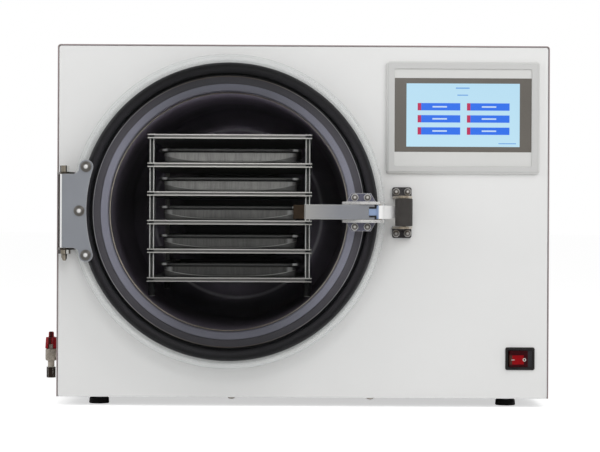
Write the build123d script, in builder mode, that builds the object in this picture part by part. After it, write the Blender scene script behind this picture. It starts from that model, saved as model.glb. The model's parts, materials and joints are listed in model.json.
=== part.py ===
from build123d import *
import os
from math import cos, radians, sin, sqrt

# Bench-top freeze dryer. Millimetres, +Z up, the front faces -Y, the operator's right is +X.
# The origin lies on the table under the middle of the whole machine, fittings included.

# Cabinet
left_space = 37.2  # between the chamber's insulation and the cabinet, on each side
top_space = 30.7
bottom_space = 54.7
rear_space = 113.0
divider_gap = 3.6  # insulation to the divider
bay_w = 227.6  # from the divider to the cabinet's right side
cover_t = 1.5  # folded sheet of the cover, the rear panel and the tray
panel_t = 2.0  # sheet of the front panel
panel_fold = 16.0  # depth of the front panel's folded edges
panel_corner_r = 3.0
cover_gap = 0.6  # all round between the front panel and the cover
cover_corner_r = 4.0
tray_h = 22.0  # height of the base tray's walls
vent_l = 70.0
vent_h = 4.0
vent_pitch = 12.0
vent_rows = 8
vent_low = 90.0  # middle of the side vents above the underside

# Feet
clearance_h = 12.0  # table to the underside
foot_inset_x = 52.0
foot_inset_y = 46.0
pad_r = 13.5
pad_h = 8.0
stud_r = 3.0
stud_top = 14.0  # how far a stud stands above the underside
foot_nut_af = 10.0
foot_nut_h = 4.0

# Chamber: a round steel drum lying front to back
rack_room = 5.9  # between the corners of the rack and the drum
rack_back_gap = 25.0
drum_t = 2.0
knuckle_r = 28.0  # between the wall and the closed end
flange_w = 28.0
flange_t = 6.0
panel_hole_gap = 1.0

# Door seal, an L-shaped rubber ring round the flange
seal_h = 22.0  # how far it stands in front of the panel
seal_in_gap = 1.5  # outside the drum's bore
seal_lip_w = 1.8  # sloping inner edge
seal_band_w = 7.7  # band that meets the door
seal_land_w = 10.9
seal_groove_w = 2.2
seal_bead_w = 15.6
seal_groove_h = 8.0
seal_step = 1.5
seat_gap = 0.3  # between rubber and door, and between hook and roller
ring_fit = 0.2

# Door disc
disc_rim_w = 8.3  # disc beyond the seal
disc_t = 25.0
disc_chamfer = 1.2

# Hinge on the left of the door
hinge_pin_out = 7.6  # pin beyond the disc's edge
hinge_pin_r = 2.5
leaf_t = 3.0
barrel_r = 6.0
leaf_half_h = 47.5
leaf_bolt_in = 11.8  # bolts inside the disc's edge
leaf_bolt_angle = 17.3
leaf_band_w = 18.0
leaf_fillet = 8.5
bolt_head_r = 7.0
bolt_head_h = 4.0
bolt_r = 3.0
bolt_l = 16.0  # depth in the disc
bracket_t = 2.5
bracket_side = 10.6  # from the pin to the ear's inner edge
bracket_base_w = 23.0
bracket_screw_ups = (-32.0, 0.0, 32.0)  # from the middle of the door's height
bracket_gap = 0.3
pin_head_h = 7.0
pin_nut_af = 8.0
pin_nut_h = 5.0
cap_nut_af = 7.0
cap_nut_h = 5.0
cap_dome_h = 4.0
fit = 0.05  # radial clearance of a pin in its hole

# Latch on the right of the door
latch_in = 7.5  # pivot inside the disc's edge
latch_stand = 17.7  # pivot, in front of the disc
latch_pin_r = 2.0
ear_t = 3.6
ear_nose_r = 5.0
ear_foot_t = 3.0
ear_tail = 48.5  # from the pivot back along the door
ear_rise = 25.5
ear_foot = 24.0  # middle of the feet
ear_foot_in_w = 40.0
ear_foot_out_w = 24.6
ear_foot_h = 11.0
latch_screw_pitch = 16.3
lever_w = 19.0
lever_t = 5.0
lever_l = 91.1
lever_back = 6.1  # lever's end before the pivot
lever_bevel = 2.0
lever_edge = 0.5
side_gap = 0.3  # beside the lever, the tongue and the roller
notch_w = 9.2
notch_l = 9.0
knuckle_out_r = 5.0
tongue_t = 3.0
tongue_w = 17.2
tongue_tip_w = 12.5
tab_drop = 1.0  # tab's face behind the lever's face
hook_reach = 3.5
hook_l = 13.0
grip_l = 13.7
grip_w = 17.8
grip_angle = 24.0
grip_cut = 2.0
grip_round = 1.0

# Keeper on the panel
roller_out = 23.2  # roller beyond the disc's edge
roller_stand = 56.0  # axis, in front of the panel
roller_r = 11.2
roller_h = 35.4
roller_pin_r = 3.0
roller_chamfer = 0.8
keeper_t = 3.3
keeper_nose_r = 7.0
keeper_w = 24.0
keeper_foot_w = 25.4
keeper_foot_h = 12.0
keeper_foot_round = 3.0
keeper_screw_pitch = 15.0

# Small round-headed screws
screw_head_r = 4.6
screw_head_h = 2.8
screw_r = 2.0
screw_l = 9.0

# Rack of shelves and trays
shelf_count = 6
rack_rise = 5.0  # middle of the rack above the chamber's axis
shelf_l = 345.0
shelf_t = 5.6
shelf_groove = 2.0
rack_depth = 15.0  # shelf fronts behind the panel's face
upright_gap = 5.0  # between a tray's rim and an upright
upright_side = 5.5  # an upright's middle inside the shelf's side
upright_w = 6.0
upright_l = 10.0
upright_t = 1.2
upright_inset = 12.0  # upright's middle behind the shelf's front edge
upright_top = 1.0
upright_fit = 0.15
rack_foot_r = 4.5
tray_rim_w = 190.0
tray_inset = 6.5  # rim behind the shelf's front edge
tray_deep = 19.0
tray_room = 13.2  # above a tray's rim
tray_t = 0.9
tray_rim_t = 3.2
tray_corner_r = 20.0
tray_bottom_r = 4.5
tray_taper = 5.0
tray_rim_out = 6.0
tray_rim_round = 1.2

# Cooling coil and insulation
coil_turns = 5
coil_pitch = 54.0
coil_w = 12.0
coil_h = 8.0
coil_gap = 0.3
jacket_in_gap = 1.0
jacket_t = 22.0
jacket_cap_t = 20.0
cradle_t = 3.0
cradle_w = 250.0
cradle_h = 74.0
cradle_foot = 22.0
cradle_depths = (95.0, 320.0)

# Vacuum port
port_up = 95.0
port_bore_r = 12.5
port_tube_r = 14.0
port_flange_r = 20.0
port_flange_t = 3.0
port_cone_l = 2.0
port_reach = 30.0  # behind the rear panel

# Drain
drain_depth = 160.0  # behind the front panel
drain_up = 45.0  # above the underside
drain_tube_r = 5.0
drain_bore_r = 3.5
thread_r = 7.0
gland_nut_af = 18.0
gland_nut_h = 5.0
gland_inside = 18.0
valve_out = 26.0  # valve's upright axis, out from the cabinet's side
valve_r = 8.0
valve_h = 17.0
valve_neck_r = 4.6
valve_round = 2.5
outlet_af = 11.0
outlet_h = 15.0
outlet_bore_r = 3.0
outlet_low = 13.0  # lower end above the underside
stem_r = 2.5
packing_af = 9.0
packing_h = 6.0
handle_r = 8.4
handle_wall = 2.2
handle_skirt_h = 15.5
handle_hollow_h = 8.5
handle_window_w = 7.0
wing_l = 36.0
wing_t = 7.0
wing_h = 9.0
handle_stub_r = 3.7
handle_stub_h = 7.7
handle_taper = 4.0

# Touch screen
hmi_down = 94.4  # from the top
hmi_w = 200.4
hmi_h = 146.5
hmi_proud = 6.0
hmi_bevel = 3.0
hmi_corner_r = 4.0
hmi_wall = 2.5
hmi_recess = 1.5
hmi_face_w = 180.0
hmi_face_h = 127.4
glass_w = 179.0
glass_h = 96.6
glass_up = 3.3  # glass middle above the screen's middle
glass_t = 2.0
display_w = 148.2
display_h = 82.8
display_t = 1.4
hmi_box_w = 188.0
hmi_box_h = 134.0
hmi_box_d = 34.0
clamp_w = 14.0
clamp_t = 8.0

# Power switch
switch_in = 37.5  # middle, from the cabinet's right side
switch_up = 52.4
switch_w = 38.3
switch_h = 29.6
switch_proud = 2.5
switch_body_w = 34.5
switch_body_h = 26.0
switch_body_d = 24.0
well_w = 31.5
well_h = 22.0
well_d = 12.0
rocker_half_l = 14.6
rocker_edge = 6.0
rocker_dip = 3.4
rocker_low = 3.0
rocker_tilt = 9.0
rocker_gap = 0.35
rocker_pin_r = 1.5
rocker_pin_l = 1.4
switch_tab_pitch = 10.0
switch_tab_t = 0.8
switch_tab_w = 6.3
switch_tab_l = 9.0

# Machinery space on the right
divider_top_gap = 42.0
shelf_up = 265.0  # electronics shelf above the underside
shelf_front = 56.0
shelf_back = 280.0
compressor_r = 74.0
compressor_h = 176.0
compressor_gap = 42.0  # base plate to the condenser
compressor_dome = 34.0
seam_r = 77.0
seam_h = 5.0
grommet_h = 12.0
grommet_r = 9.0
plate_w = 150.0
plate_l = 176.0
plate_t = 3.0
grommet_dx = 64.0
grommet_dy = 78.0
stub_dx = 35.0
stub_dy = 40.0
stub_h = 14.0
line_socket = 6.0  # how far a line goes into its socket
condenser_w = 188.0
condenser_h = 196.0
condenser_d = 40.0
condenser_gap = 28.5  # to the fan
fin_count = 17
fin_slot = 4.0
fan_size = 120.0
fan_d = 38.0
fan_up = 110.0
fan_bore_r = 57.0
fan_hub_r = 21.0
fan_blade_r = 54.0
fan_blades = 7
fan_axle_r = 2.5
fan_corner_r = 6.0
fan_arm_w = 8.0
fan_arm_t = 5.0
fan_gap = 0.6
fan_blade_w = 30.0
fan_blade_t = 1.8
fan_pitch_angle = 50.0
fan_slot_pitch = 9.0
fan_grille_r = 54.0
line_r = 4.0
line_bend_r = 14.0
drier_r = 10.0
drier_l = 90.0
line_top_gap = 8.0  # lines under the cover's top
liquid_side = 32.0  # liquid line beside the chamber's middle
discharge_rise = 28.0
board_w = 92.0
board_l = 120.0
board_t = 1.6
board_post_h = 8.0
board_post_r = 3.5
board_edge = 7.0
relay_w = 18.0
terminal_w = 10.0
shelf_margin = 12.0
supply_w = 96.0
supply_l = 190.0
supply_h = 42.0
inlet_in = 37.5
inlet_up = 250.0
inlet_w = 48.0
inlet_h = 30.0
inlet_t = 3.0
inlet_body_w = 30.0
inlet_body_h = 24.0
inlet_body_d = 26.0
socket_w = 24.4
socket_h = 17.0
socket_d = 21.0
blade_l = 15.0
blade_t = 2.0
blade_w = 4.0
blade_pitch = 7.0
blade_up = 4.0

# Reference places
side_reach = valve_out + handle_r
latch_screw_up = lever_w / 2 + side_gap + ear_t + ear_foot_h / 2
keeper_screw_up = roller_h / 2 + side_gap + keeper_t + keeper_foot_h / 2
disc_back = seal_h + seat_gap
disc_front = disc_back + disc_t
latch_v = disc_front + latch_stand
lever_front = latch_v + lever_t / 2
grip_rise = grip_l * sin(radians(grip_angle))
front_reach = lever_front - lever_bevel + grip_rise
tray_body_w = tray_rim_w - 2 * tray_rim_out
tray_l = shelf_l - 2 * tray_inset
upright_x = tray_rim_w / 2 + upright_gap + upright_w / 2
shelf_w = 2 * (upright_x + upright_side)
shelf_pitch = shelf_t + tray_deep + tray_room
shelf_top_up = (shelf_count - 1) * shelf_pitch / 2 + rack_rise  # its middle, from the axis
drum_r = sqrt((shelf_w / 2) ** 2 + (shelf_top_up + shelf_t / 2) ** 2) + rack_room
drum_l = rack_depth + shelf_l + rack_back_gap
flange_r = drum_r + flange_w
seal_in_r = drum_r + seal_in_gap
seal_lip_r = seal_in_r + seal_lip_w
seal_band_r = seal_lip_r + seal_band_w
seal_groove_r = seal_band_r + seal_land_w
seal_bead_r = seal_groove_r + seal_groove_w
seal_out_r = seal_bead_r + seal_bead_w
disc_r = seal_out_r + disc_rim_w
hinge_pin_u = disc_r + hinge_pin_out
leaf_bolt_r = disc_r - leaf_bolt_in
latch_u = disc_r - latch_in
lever_right_u = latch_u - lever_back
lever_left_u = lever_right_u - lever_l
ear_foot_u = latch_u - ear_foot
roller_u = disc_r + roller_out
jacket_in_r = drum_r + drum_t + coil_gap + coil_h + jacket_in_gap
jacket_r = jacket_in_r + jacket_t
jacket_end = drum_l + drum_t + jacket_cap_t
cabinet_w = left_space + 2 * jacket_r + divider_gap + bay_w
cabinet_d = jacket_end + rear_space
cabinet_h = bottom_space + 2 * jacket_r + top_space
x_left = -(cabinet_w - side_reach) / 2
x_right = x_left + cabinet_w
x_mid = (x_left + x_right) / 2
panel_y = -(cabinet_d + port_reach - front_reach) / 2
z_base = clearance_h
z_top = z_base + cabinet_h
floor_z = z_base + cover_t
chamber_x = x_left + left_space + jacket_r
chamber_z = z_base + bottom_space + jacket_r
chamber_plane = Plane(
    origin=(chamber_x, panel_y, chamber_z), x_dir=(1, 0, 0), z_dir=(0, 0, 1)
)  # its own X is the radius and its own Y the depth behind the panel
chamber_axis = Axis((chamber_x, panel_y, chamber_z), (0, 1, 0))
coil_start = drain_depth - 2 * coil_pitch
coil_end = coil_start + coil_turns * coil_pitch
condenser_depth = cabinet_d - cover_t - fan_d - condenser_gap - condenser_d
compressor_depth = condenser_depth - compressor_gap - plate_l / 2
drain_y = panel_y + drain_depth
drain_z = z_base + drain_up
drain_bend_r = chamber_z - jacket_r - drain_z  # the elbow ends under the insulation
machine_x = x_right - bay_w / 2
divider_x = chamber_x + jacket_r + divider_gap
divider_h = cabinet_h - divider_top_gap
bay_shelf_z = z_base + shelf_up
hmi_x = machine_x
hmi_z = z_top - hmi_down
glass_z = hmi_z + glass_up
switch_x = x_right - switch_in
switch_z = z_base + switch_up
inlet_x = x_right - inlet_in
inlet_z = z_base + inlet_up
fan_z = z_base + fan_up
hinge_v = disc_front + leaf_t - barrel_r
valve_x = x_left - valve_out
tray_w = cabinet_w - 2 * cover_t
tray_d = cabinet_d - panel_t - cover_t
tray_middle = panel_t + tray_d / 2
foot_pitch_x = cabinet_w - 2 * foot_inset_x
foot_pitch_y = cabinet_d - 2 * foot_inset_y
fan_rows = int((fan_grille_r - vent_h) / fan_slot_pitch)
shelf_middle = rack_depth + shelf_l / 2
rack_top_z = chamber_z + shelf_top_up + shelf_t / 2 + upright_top
rack_low_up = shelf_top_up - (shelf_count - 1) * shelf_pitch
rack_foot_z = chamber_z + rack_low_up - shelf_t / 2
bracket_holes = [(-hinge_pin_u, w) for w in bracket_screw_ups]
leaf_bolt_places = [
    (-leaf_bolt_r * cos(radians(turn)), leaf_bolt_r * sin(radians(turn)))
    for turn in (leaf_bolt_angle, 0, -leaf_bolt_angle)
]
latch_screw_places = [
    (ear_foot_u + side * latch_screw_pitch / 2, level * latch_screw_up)
    for side in (-1, 1)
    for level in (-1, 1)
]
keeper_holes = [
    (roller_u + side * keeper_screw_pitch / 2, level * keeper_screw_up)
    for side in (-1, 1)
    for level in (-1, 1)
]
stub_z = floor_z + grommet_h + compressor_h + plate_t + stub_h
line_z = z_top - cover_t - line_top_gap
condenser_ports = [(-condenser_w / 2 + 3 * line_r, 0), (stub_dx, 0)]
board_x = divider_x + cover_t + shelf_margin / 2 + board_w / 2
supply_x = board_x + board_w / 2 + shelf_margin / 2 + supply_w / 2


def front_plane(x, z, proud=0.0):
    """Upright plane that faces the operator, so far in front of the panel's face."""
    return Plane(origin=(x, panel_y - proud, z), x_dir=(1, 0, 0), z_dir=(0, -1, 0))


def level_plane(x, depth, z):
    """Level plane at a depth behind the panel's face; its own Y runs to the back."""
    return Plane(origin=(x, panel_y + depth, z), x_dir=(1, 0, 0), z_dir=(0, 0, 1))


def side_plane(x, depth, z):
    """Upright plane that faces the left side; its own X runs to the front."""
    return Plane(origin=(x, panel_y + depth, z), x_dir=(0, -1, 0), z_dir=(-1, 0, 0))


def pin_plane(u, v, w):
    """Level plane set out from the chamber's middle: across, in front of the panel, up."""
    return Plane(
        origin=(chamber_x + u, panel_y - v, chamber_z + w), x_dir=(1, 0, 0), z_dir=(0, 0, 1)
    )


def foot_places(z):
    return [
        level_plane(x_mid + side * foot_pitch_x / 2, tray_middle + end * foot_pitch_y / 2, z)
        for side in (-1, 1)
        for end in (-1, 1)
    ]


def dome_screw(head_r, head_h, shank_r, length):
    """One screw along +Z, with the seat of its domed head at the origin."""
    with BuildPart() as screw:
        with BuildSketch(Plane.XZ):
            with BuildLine():
                rim = (head_r, head_h / 4)
                Polyline((0, head_h), (0, -length), (shank_r, -length), (shank_r, 0), (head_r, 0), rim)
                TangentArc((0, head_h), rim, tangent=(1, 0))
            make_face()
        revolve(axis=Axis.Z)
    return screw


def copies(piece, places):
    """The same piece once at each plane, as separate solids."""
    with BuildPart() as group:
        with Locations(*places):
            add(piece.part)
    return group


def hex_nut(across_flats, height, bore_r):
    with BuildPart() as nut:
        with BuildSketch():
            RegularPolygon(across_flats / 2, 6, major_radius=False)
            Circle(bore_r, mode=Mode.SUBTRACT)
        extrude(amount=height)
    return nut


def make_base_tray():
    with BuildPart() as tray:
        with BuildSketch(level_plane(x_mid, tray_middle, z_base)):
            Rectangle(tray_w, tray_d)
        extrude(amount=tray_h)
        with BuildSketch(level_plane(x_mid, tray_middle, floor_z)):
            Rectangle(tray_w - 2 * cover_t, tray_d - 2 * cover_t)
        extrude(amount=tray_h, mode=Mode.SUBTRACT)
        with BuildSketch(level_plane(x_mid, tray_middle, z_base)):
            with GridLocations(foot_pitch_x, foot_pitch_y, 2, 2):
                Circle(stud_r + fit)
        extrude(amount=cover_t, mode=Mode.SUBTRACT)
        with BuildSketch(level_plane(machine_x, compressor_depth, z_base)):
            with GridLocations(1, vent_pitch, 1, vent_rows):
                SlotOverall(vent_l, vent_h)
        extrude(amount=cover_t, mode=Mode.SUBTRACT)
    return tray


def make_front_panel():
    width = cabinet_w - 2 * (cover_t + cover_gap)
    height = cabinet_h - cover_t - cover_gap
    middle_z = z_base + height / 2
    behind = front_plane(x_mid, middle_z, -panel_t)
    with BuildPart() as panel:
        with BuildSketch(front_plane(x_mid, middle_z)):
            RectangleRounded(width, height, panel_corner_r)
        extrude(amount=-panel_fold)
        with BuildSketch(behind):
            Rectangle(width - 2 * panel_t, height - 2 * panel_t)
            with Locations((0, -height / 2)):
                Rectangle(width, 2 * (tray_h + cover_gap))
        extrude(amount=-panel_fold, mode=Mode.SUBTRACT)
        with BuildSketch(front_plane(chamber_x, chamber_z)):
            Circle(drum_r + drum_t + panel_hole_gap)
        extrude(amount=-panel_t, mode=Mode.SUBTRACT)
        with BuildSketch(front_plane(hmi_x, hmi_z)):
            Rectangle(hmi_box_w + panel_hole_gap, hmi_box_h + panel_hole_gap)
        extrude(amount=-panel_t, mode=Mode.SUBTRACT)
        with BuildSketch(front_plane(switch_x, switch_z)):
            Rectangle(switch_body_w + panel_hole_gap, switch_body_h + panel_hole_gap)
        extrude(amount=-panel_t, mode=Mode.SUBTRACT)
        with BuildSketch(front_plane(chamber_x, chamber_z)):
            with Locations(*bracket_holes):
                Circle(screw_r + fit)
            with Locations(*keeper_holes):
                Circle(screw_r + fit)
        extrude(amount=-panel_t, mode=Mode.SUBTRACT)
    return panel


def make_case_cover():
    """One folded sheet: the top and both sides, with vents low on each side."""
    with BuildPart() as cover:
        with BuildSketch(front_plane(x_mid, z_base)) as outline:
            Rectangle(cabinet_w, cabinet_h, align=(Align.CENTER, Align.MIN))
            fillet(outline.vertices().group_by(Axis.Y)[-1], cover_corner_r)
        extrude(amount=-cabinet_d)
        with BuildSketch(front_plane(x_mid, z_base)) as inside:
            Rectangle(cabinet_w - 2 * cover_t, cabinet_h - cover_t, align=(Align.CENTER, Align.MIN))
            fillet(inside.vertices().group_by(Axis.Y)[-1], cover_corner_r - cover_t)
        extrude(amount=-cabinet_d, mode=Mode.SUBTRACT)
        for x in (x_left, x_right - cover_t):
            with BuildSketch(side_plane(x + cover_t, compressor_depth, z_base + vent_low)):
                with GridLocations(vent_l + vent_pitch, vent_pitch, 2, vent_rows):
                    SlotOverall(vent_l, vent_h)
            extrude(amount=cover_t, mode=Mode.SUBTRACT)
        with BuildSketch(side_plane(x_left + cover_t, drain_depth, drain_z)):
            Circle(thread_r + fit)
        extrude(amount=cover_t, mode=Mode.SUBTRACT)
    return cover


def make_rear_panel():
    width = cabinet_w - 2 * cover_t
    height = cabinet_h - cover_t
    with BuildPart() as rear:
        with BuildSketch(front_plane(x_mid, z_base + height / 2, -cabinet_d)) as outline:
            Rectangle(width, height)
            fillet(outline.vertices().group_by(Axis.Y)[-1], cover_corner_r)
        extrude(amount=cover_t)
        with BuildSketch(front_plane(chamber_x, chamber_z + port_up, -cabinet_d)):
            Circle(port_tube_r + panel_hole_gap)
        extrude(amount=cover_t, mode=Mode.SUBTRACT)
        with BuildSketch(front_plane(machine_x, fan_z, -cabinet_d)):
            for row in range(-fan_rows, fan_rows + 1):
                height_up = row * fan_slot_pitch
                half = sqrt(fan_grille_r**2 - height_up**2)
                with Locations((0, height_up)):
                    SlotOverall(2 * half, vent_h)
        extrude(amount=cover_t, mode=Mode.SUBTRACT)
        with BuildSketch(front_plane(inlet_x, inlet_z, -cabinet_d)):
            Rectangle(inlet_body_w + panel_hole_gap, inlet_body_h + panel_hole_gap)
        extrude(amount=cover_t, mode=Mode.SUBTRACT)
    return rear


def make_foot_pads():
    with BuildPart() as pad:
        with BuildSketch(Plane.XZ):
            with BuildLine():
                Polyline((0, 0), (pad_r - 1, 0), (pad_r, 1), (pad_r - 0.6, pad_h - 1.5))
                ThreePointArc(
                    (pad_r - 0.6, pad_h - 1.5), (pad_r - 1.1, pad_h - 0.45), (pad_r - 2.2, pad_h)
                )
                Polyline((pad_r - 2.2, pad_h), (0, pad_h), (0, 0))
            make_face()
        revolve(axis=Axis.Z)
    return copies(pad, foot_places(0))


def make_foot_studs():
    """Each foot's stud, with the nut that locks it under the tray and the one inside."""
    with BuildPart() as stud:
        with BuildSketch(Plane.XY.offset(pad_h)):
            Circle(stud_r)
        extrude(amount=z_base + stud_top - pad_h)
    nut = hex_nut(foot_nut_af, foot_nut_h, stud_r + fit)
    with BuildPart() as group:
        with Locations(*foot_places(0)):
            add(stud.part)
        with Locations(*foot_places(z_base - foot_nut_h), *foot_places(floor_z)):
            add(nut.part)
    return group


def make_chamber_drum():
    """Turned shell with its front flange and a knuckled closed end."""
    outer_knuckle = knuckle_r + drum_t
    flat_r = drum_r - knuckle_r
    turn = drum_l - knuckle_r
    with BuildPart() as drum:
        with BuildSketch(chamber_plane):
            with BuildLine():
                Polyline((0, drum_l), (flat_r, drum_l))
                RadiusArc((flat_r, drum_l), (drum_r, turn), knuckle_r)
                Polyline((drum_r, turn), (drum_r, -flange_t), (flange_r, -flange_t), (flange_r, 0))
                Polyline((flange_r, 0), (drum_r + drum_t, 0), (drum_r + drum_t, turn))
                RadiusArc((drum_r + drum_t, turn), (flat_r, drum_l + drum_t), -outer_knuckle)
                Polyline((flat_r, drum_l + drum_t), (0, drum_l + drum_t), (0, drum_l))
            make_face()
        revolve(axis=chamber_axis)
        with BuildSketch(front_plane(chamber_x, chamber_z + port_up, -drum_l + 1)):
            Circle(port_bore_r)
        extrude(amount=-drum_t - 2, mode=Mode.SUBTRACT)
        with BuildSketch(level_plane(chamber_x, drain_depth, chamber_z - drum_r + 5)):
            Circle(drain_bore_r)
        extrude(amount=-drum_t - 10, mode=Mode.SUBTRACT)
    return drum


def make_door_seal():
    bead_mid = (seal_bead_r + seal_out_r) / 2
    foot = seal_h - seal_groove_h
    step = seal_h - seal_step
    band_end = seal_band_r + seal_step
    with BuildPart() as seal:
        with BuildSketch(chamber_plane):
            with BuildLine():
                Polyline((seal_in_r, -flange_t), (seal_in_r, -step), (seal_lip_r, -seal_h))
                Polyline((seal_lip_r, -seal_h), (seal_band_r, -seal_h), (band_end, -step))
                Polyline((band_end, -step), (seal_groove_r, -step), (seal_groove_r, -foot))
                Line((seal_groove_r, -foot), (seal_bead_r, -foot))
                ThreePointArc((seal_bead_r, -foot), (bead_mid, -seal_h), (seal_out_r, -foot))
                Polyline((seal_out_r, -foot), (seal_out_r, 0), (flange_r + ring_fit, 0))
                Line((flange_r + ring_fit, 0), (flange_r + ring_fit, -flange_t))
                Line((flange_r + ring_fit, -flange_t), (seal_in_r, -flange_t))
            make_face()
        revolve(axis=chamber_axis)
    return seal


def make_evaporator_coil():
    """Flat-sided tube wound round the drum; both of its ends are at the top."""
    wound_r = drum_r + drum_t + coil_gap
    start = Plane(
        origin=(chamber_x, panel_y + coil_start, chamber_z + wound_r),
        x_dir=(0, 1, 0),
        z_dir=(1, 0, 0),
    )
    with BuildPart() as coil:
        with BuildLine():
            Helix(
                coil_pitch,
                coil_turns * coil_pitch,
                wound_r,
                center=(chamber_x, panel_y + coil_start, chamber_z),
                direction=(0, 1, 0),
            )
        with BuildSketch(start):
            with BuildLine():
                Line((-coil_w / 2, 0), (coil_w / 2, 0))
                ThreePointArc((coil_w / 2, 0), (0, coil_h), (-coil_w / 2, 0))
            make_face()
        sweep(is_frenet=True)
    return coil


def make_insulation_jacket():
    with BuildPart() as jacket:
        with BuildSketch(chamber_plane):
            with BuildLine():
                Polyline(
                    (jacket_in_r, panel_t),
                    (jacket_r, panel_t),
                    (jacket_r, jacket_end),
                    (0, jacket_end),
                    (0, drum_l + drum_t),
                    (jacket_in_r, drum_l + drum_t),
                    (jacket_in_r, panel_t),
                )
            make_face()
        revolve(axis=chamber_axis)
        with BuildSketch(front_plane(chamber_x, chamber_z + port_up, -drum_l)):
            Circle(port_tube_r + fit)
        extrude(amount=-jacket_cap_t - drum_t, mode=Mode.SUBTRACT)
        with BuildSketch(level_plane(chamber_x, drain_depth, chamber_z)):
            Circle(drain_tube_r + fit)
        extrude(amount=-jacket_r - 1, mode=Mode.SUBTRACT)
        for depth in (coil_start, coil_end):
            with BuildSketch(level_plane(chamber_x, depth, chamber_z)):
                Circle(line_r + fit)
            extrude(amount=jacket_r + 1, mode=Mode.SUBTRACT)
    return jacket


def make_chamber_cradles():
    """Two folded saddles that carry the insulated drum on the tray."""
    with BuildPart() as cradles:
        for depth in cradle_depths:
            with BuildSketch(front_plane(chamber_x, floor_z, -depth)):
                Rectangle(cradle_w, cradle_h, align=(Align.CENTER, Align.MIN))
                with Locations((0, chamber_z - floor_z)):
                    Circle(jacket_r + fit, mode=Mode.SUBTRACT)
            extrude(amount=-cradle_t)
            with BuildSketch(level_plane(chamber_x, depth, floor_z)):
                Rectangle(cradle_w, cradle_foot, align=(Align.CENTER, Align.MIN))
            extrude(amount=cradle_t)
    return cradles


def make_vacuum_port():
    """Tube from the drum's closed end to a clamp flange behind the cabinet."""
    start = drum_l + drum_t
    end = cabinet_d + port_reach
    shoulder = end - port_flange_t
    with BuildPart() as port:
        with BuildSketch(level_plane(chamber_x, 0, chamber_z + port_up)):
            with BuildLine():
                Polyline(
                    (port_bore_r, start),
                    (port_bore_r, end),
                    (port_flange_r, end),
                    (port_flange_r, shoulder),
                    (port_tube_r, shoulder - port_cone_l),
                    (port_tube_r, start),
                    (port_bore_r, start),
                )
            make_face()
        revolve(axis=Axis((chamber_x, panel_y, chamber_z + port_up), (0, 1, 0)))
    return port


def make_shelf(number):
    """Heated plate with a groove round its edge and openings for the uprights."""
    middle = chamber_z + shelf_top_up - (number - 1) * shelf_pitch
    reach = shelf_l / 2 - upright_inset
    with BuildPart() as shelf:
        with BuildSketch(level_plane(chamber_x, shelf_middle, middle - shelf_t / 2)):
            Rectangle(shelf_w, shelf_l)
        extrude(amount=shelf_t)
        with BuildSketch(level_plane(chamber_x, shelf_middle, middle - shelf_groove / 2)):
            Rectangle(shelf_w, shelf_l)
            Rectangle(shelf_w - 2 * shelf_groove, shelf_l - 2 * shelf_groove, mode=Mode.SUBTRACT)
        extrude(amount=shelf_groove, mode=Mode.SUBTRACT)
        with BuildSketch(level_plane(chamber_x, shelf_middle, middle - shelf_t / 2)):
            with GridLocations(2 * upright_x, 2 * reach, 2, 2):
                Rectangle(upright_w + 2 * upright_fit, upright_l + 2 * upright_fit)
        extrude(amount=shelf_t, mode=Mode.SUBTRACT)
    return shelf


def make_rack_uprights():
    """Four channel posts, open to the front."""
    reach = shelf_l / 2 - upright_inset
    with BuildPart() as uprights:
        with BuildSketch(level_plane(chamber_x, shelf_middle, rack_foot_z)):
            with GridLocations(2 * upright_x, 2 * reach, 2, 2):
                Rectangle(upright_w, upright_l)
            with Locations((0, -upright_t)):
                with GridLocations(2 * upright_x, 2 * reach, 2, 2):
                    Rectangle(upright_w - 2 * upright_t, upright_l, mode=Mode.SUBTRACT)
        extrude(amount=rack_top_z - rack_foot_z)
    return uprights


def make_rack_feet():
    """Rubber feet from the uprights' ends to the wall of the drum."""
    reach = shelf_l / 2 - upright_inset
    low = sqrt((drum_r - seat_gap) ** 2 - (upright_x + rack_foot_r) ** 2)
    with BuildPart() as feet:
        with BuildSketch(level_plane(chamber_x, shelf_middle, chamber_z - low)):
            with GridLocations(2 * upright_x, 2 * reach, 2, 2):
                Circle(rack_foot_r)
        extrude(amount=rack_foot_z - chamber_z + low)
    return feet


def make_tray(number):
    """Pressed steel tray with a rim turned outwards, on the shelf below shelf number."""
    low = chamber_z + shelf_top_up - number * shelf_pitch + shelf_t / 2
    floor_w = tray_body_w - 2 * tray_deep * sin(radians(tray_taper))
    floor_l = tray_l - 2 * tray_rim_out - 2 * tray_deep * sin(radians(tray_taper))
    with BuildPart() as inside:
        with BuildSketch(level_plane(chamber_x, shelf_middle, low + tray_t)):
            RectangleRounded(floor_w - 2 * tray_t, floor_l - 2 * tray_t, tray_corner_r - 2 - tray_t)
        extrude(amount=tray_deep, taper=-tray_taper)
        fillet(inside.faces().sort_by(Axis.Z)[0].edges(), tray_bottom_r - tray_t)
    with BuildPart() as tray:
        with BuildSketch(level_plane(chamber_x, shelf_middle, low)):
            RectangleRounded(floor_w, floor_l, tray_corner_r - 2)
        extrude(amount=tray_deep - tray_rim_t / 2, taper=-tray_taper)
        fillet(tray.faces().sort_by(Axis.Z)[0].edges(), tray_bottom_r)
        add(inside.part, mode=Mode.SUBTRACT)
        rim_z = low + tray_deep - tray_rim_t
        with BuildSketch(level_plane(chamber_x, shelf_middle, rim_z)):
            RectangleRounded(tray_rim_w, tray_l, tray_corner_r + tray_rim_out)
            opening_l = tray_l - 2 * tray_rim_out - 2 * tray_t
            RectangleRounded(tray_body_w - 2 * tray_t, opening_l, tray_corner_r, mode=Mode.SUBTRACT)
        extrude(amount=tray_rim_t)
        fillet(tray.faces().sort_by(Axis.Z)[-1].outer_wire().edges(), tray_rim_round)
    return tray


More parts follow.
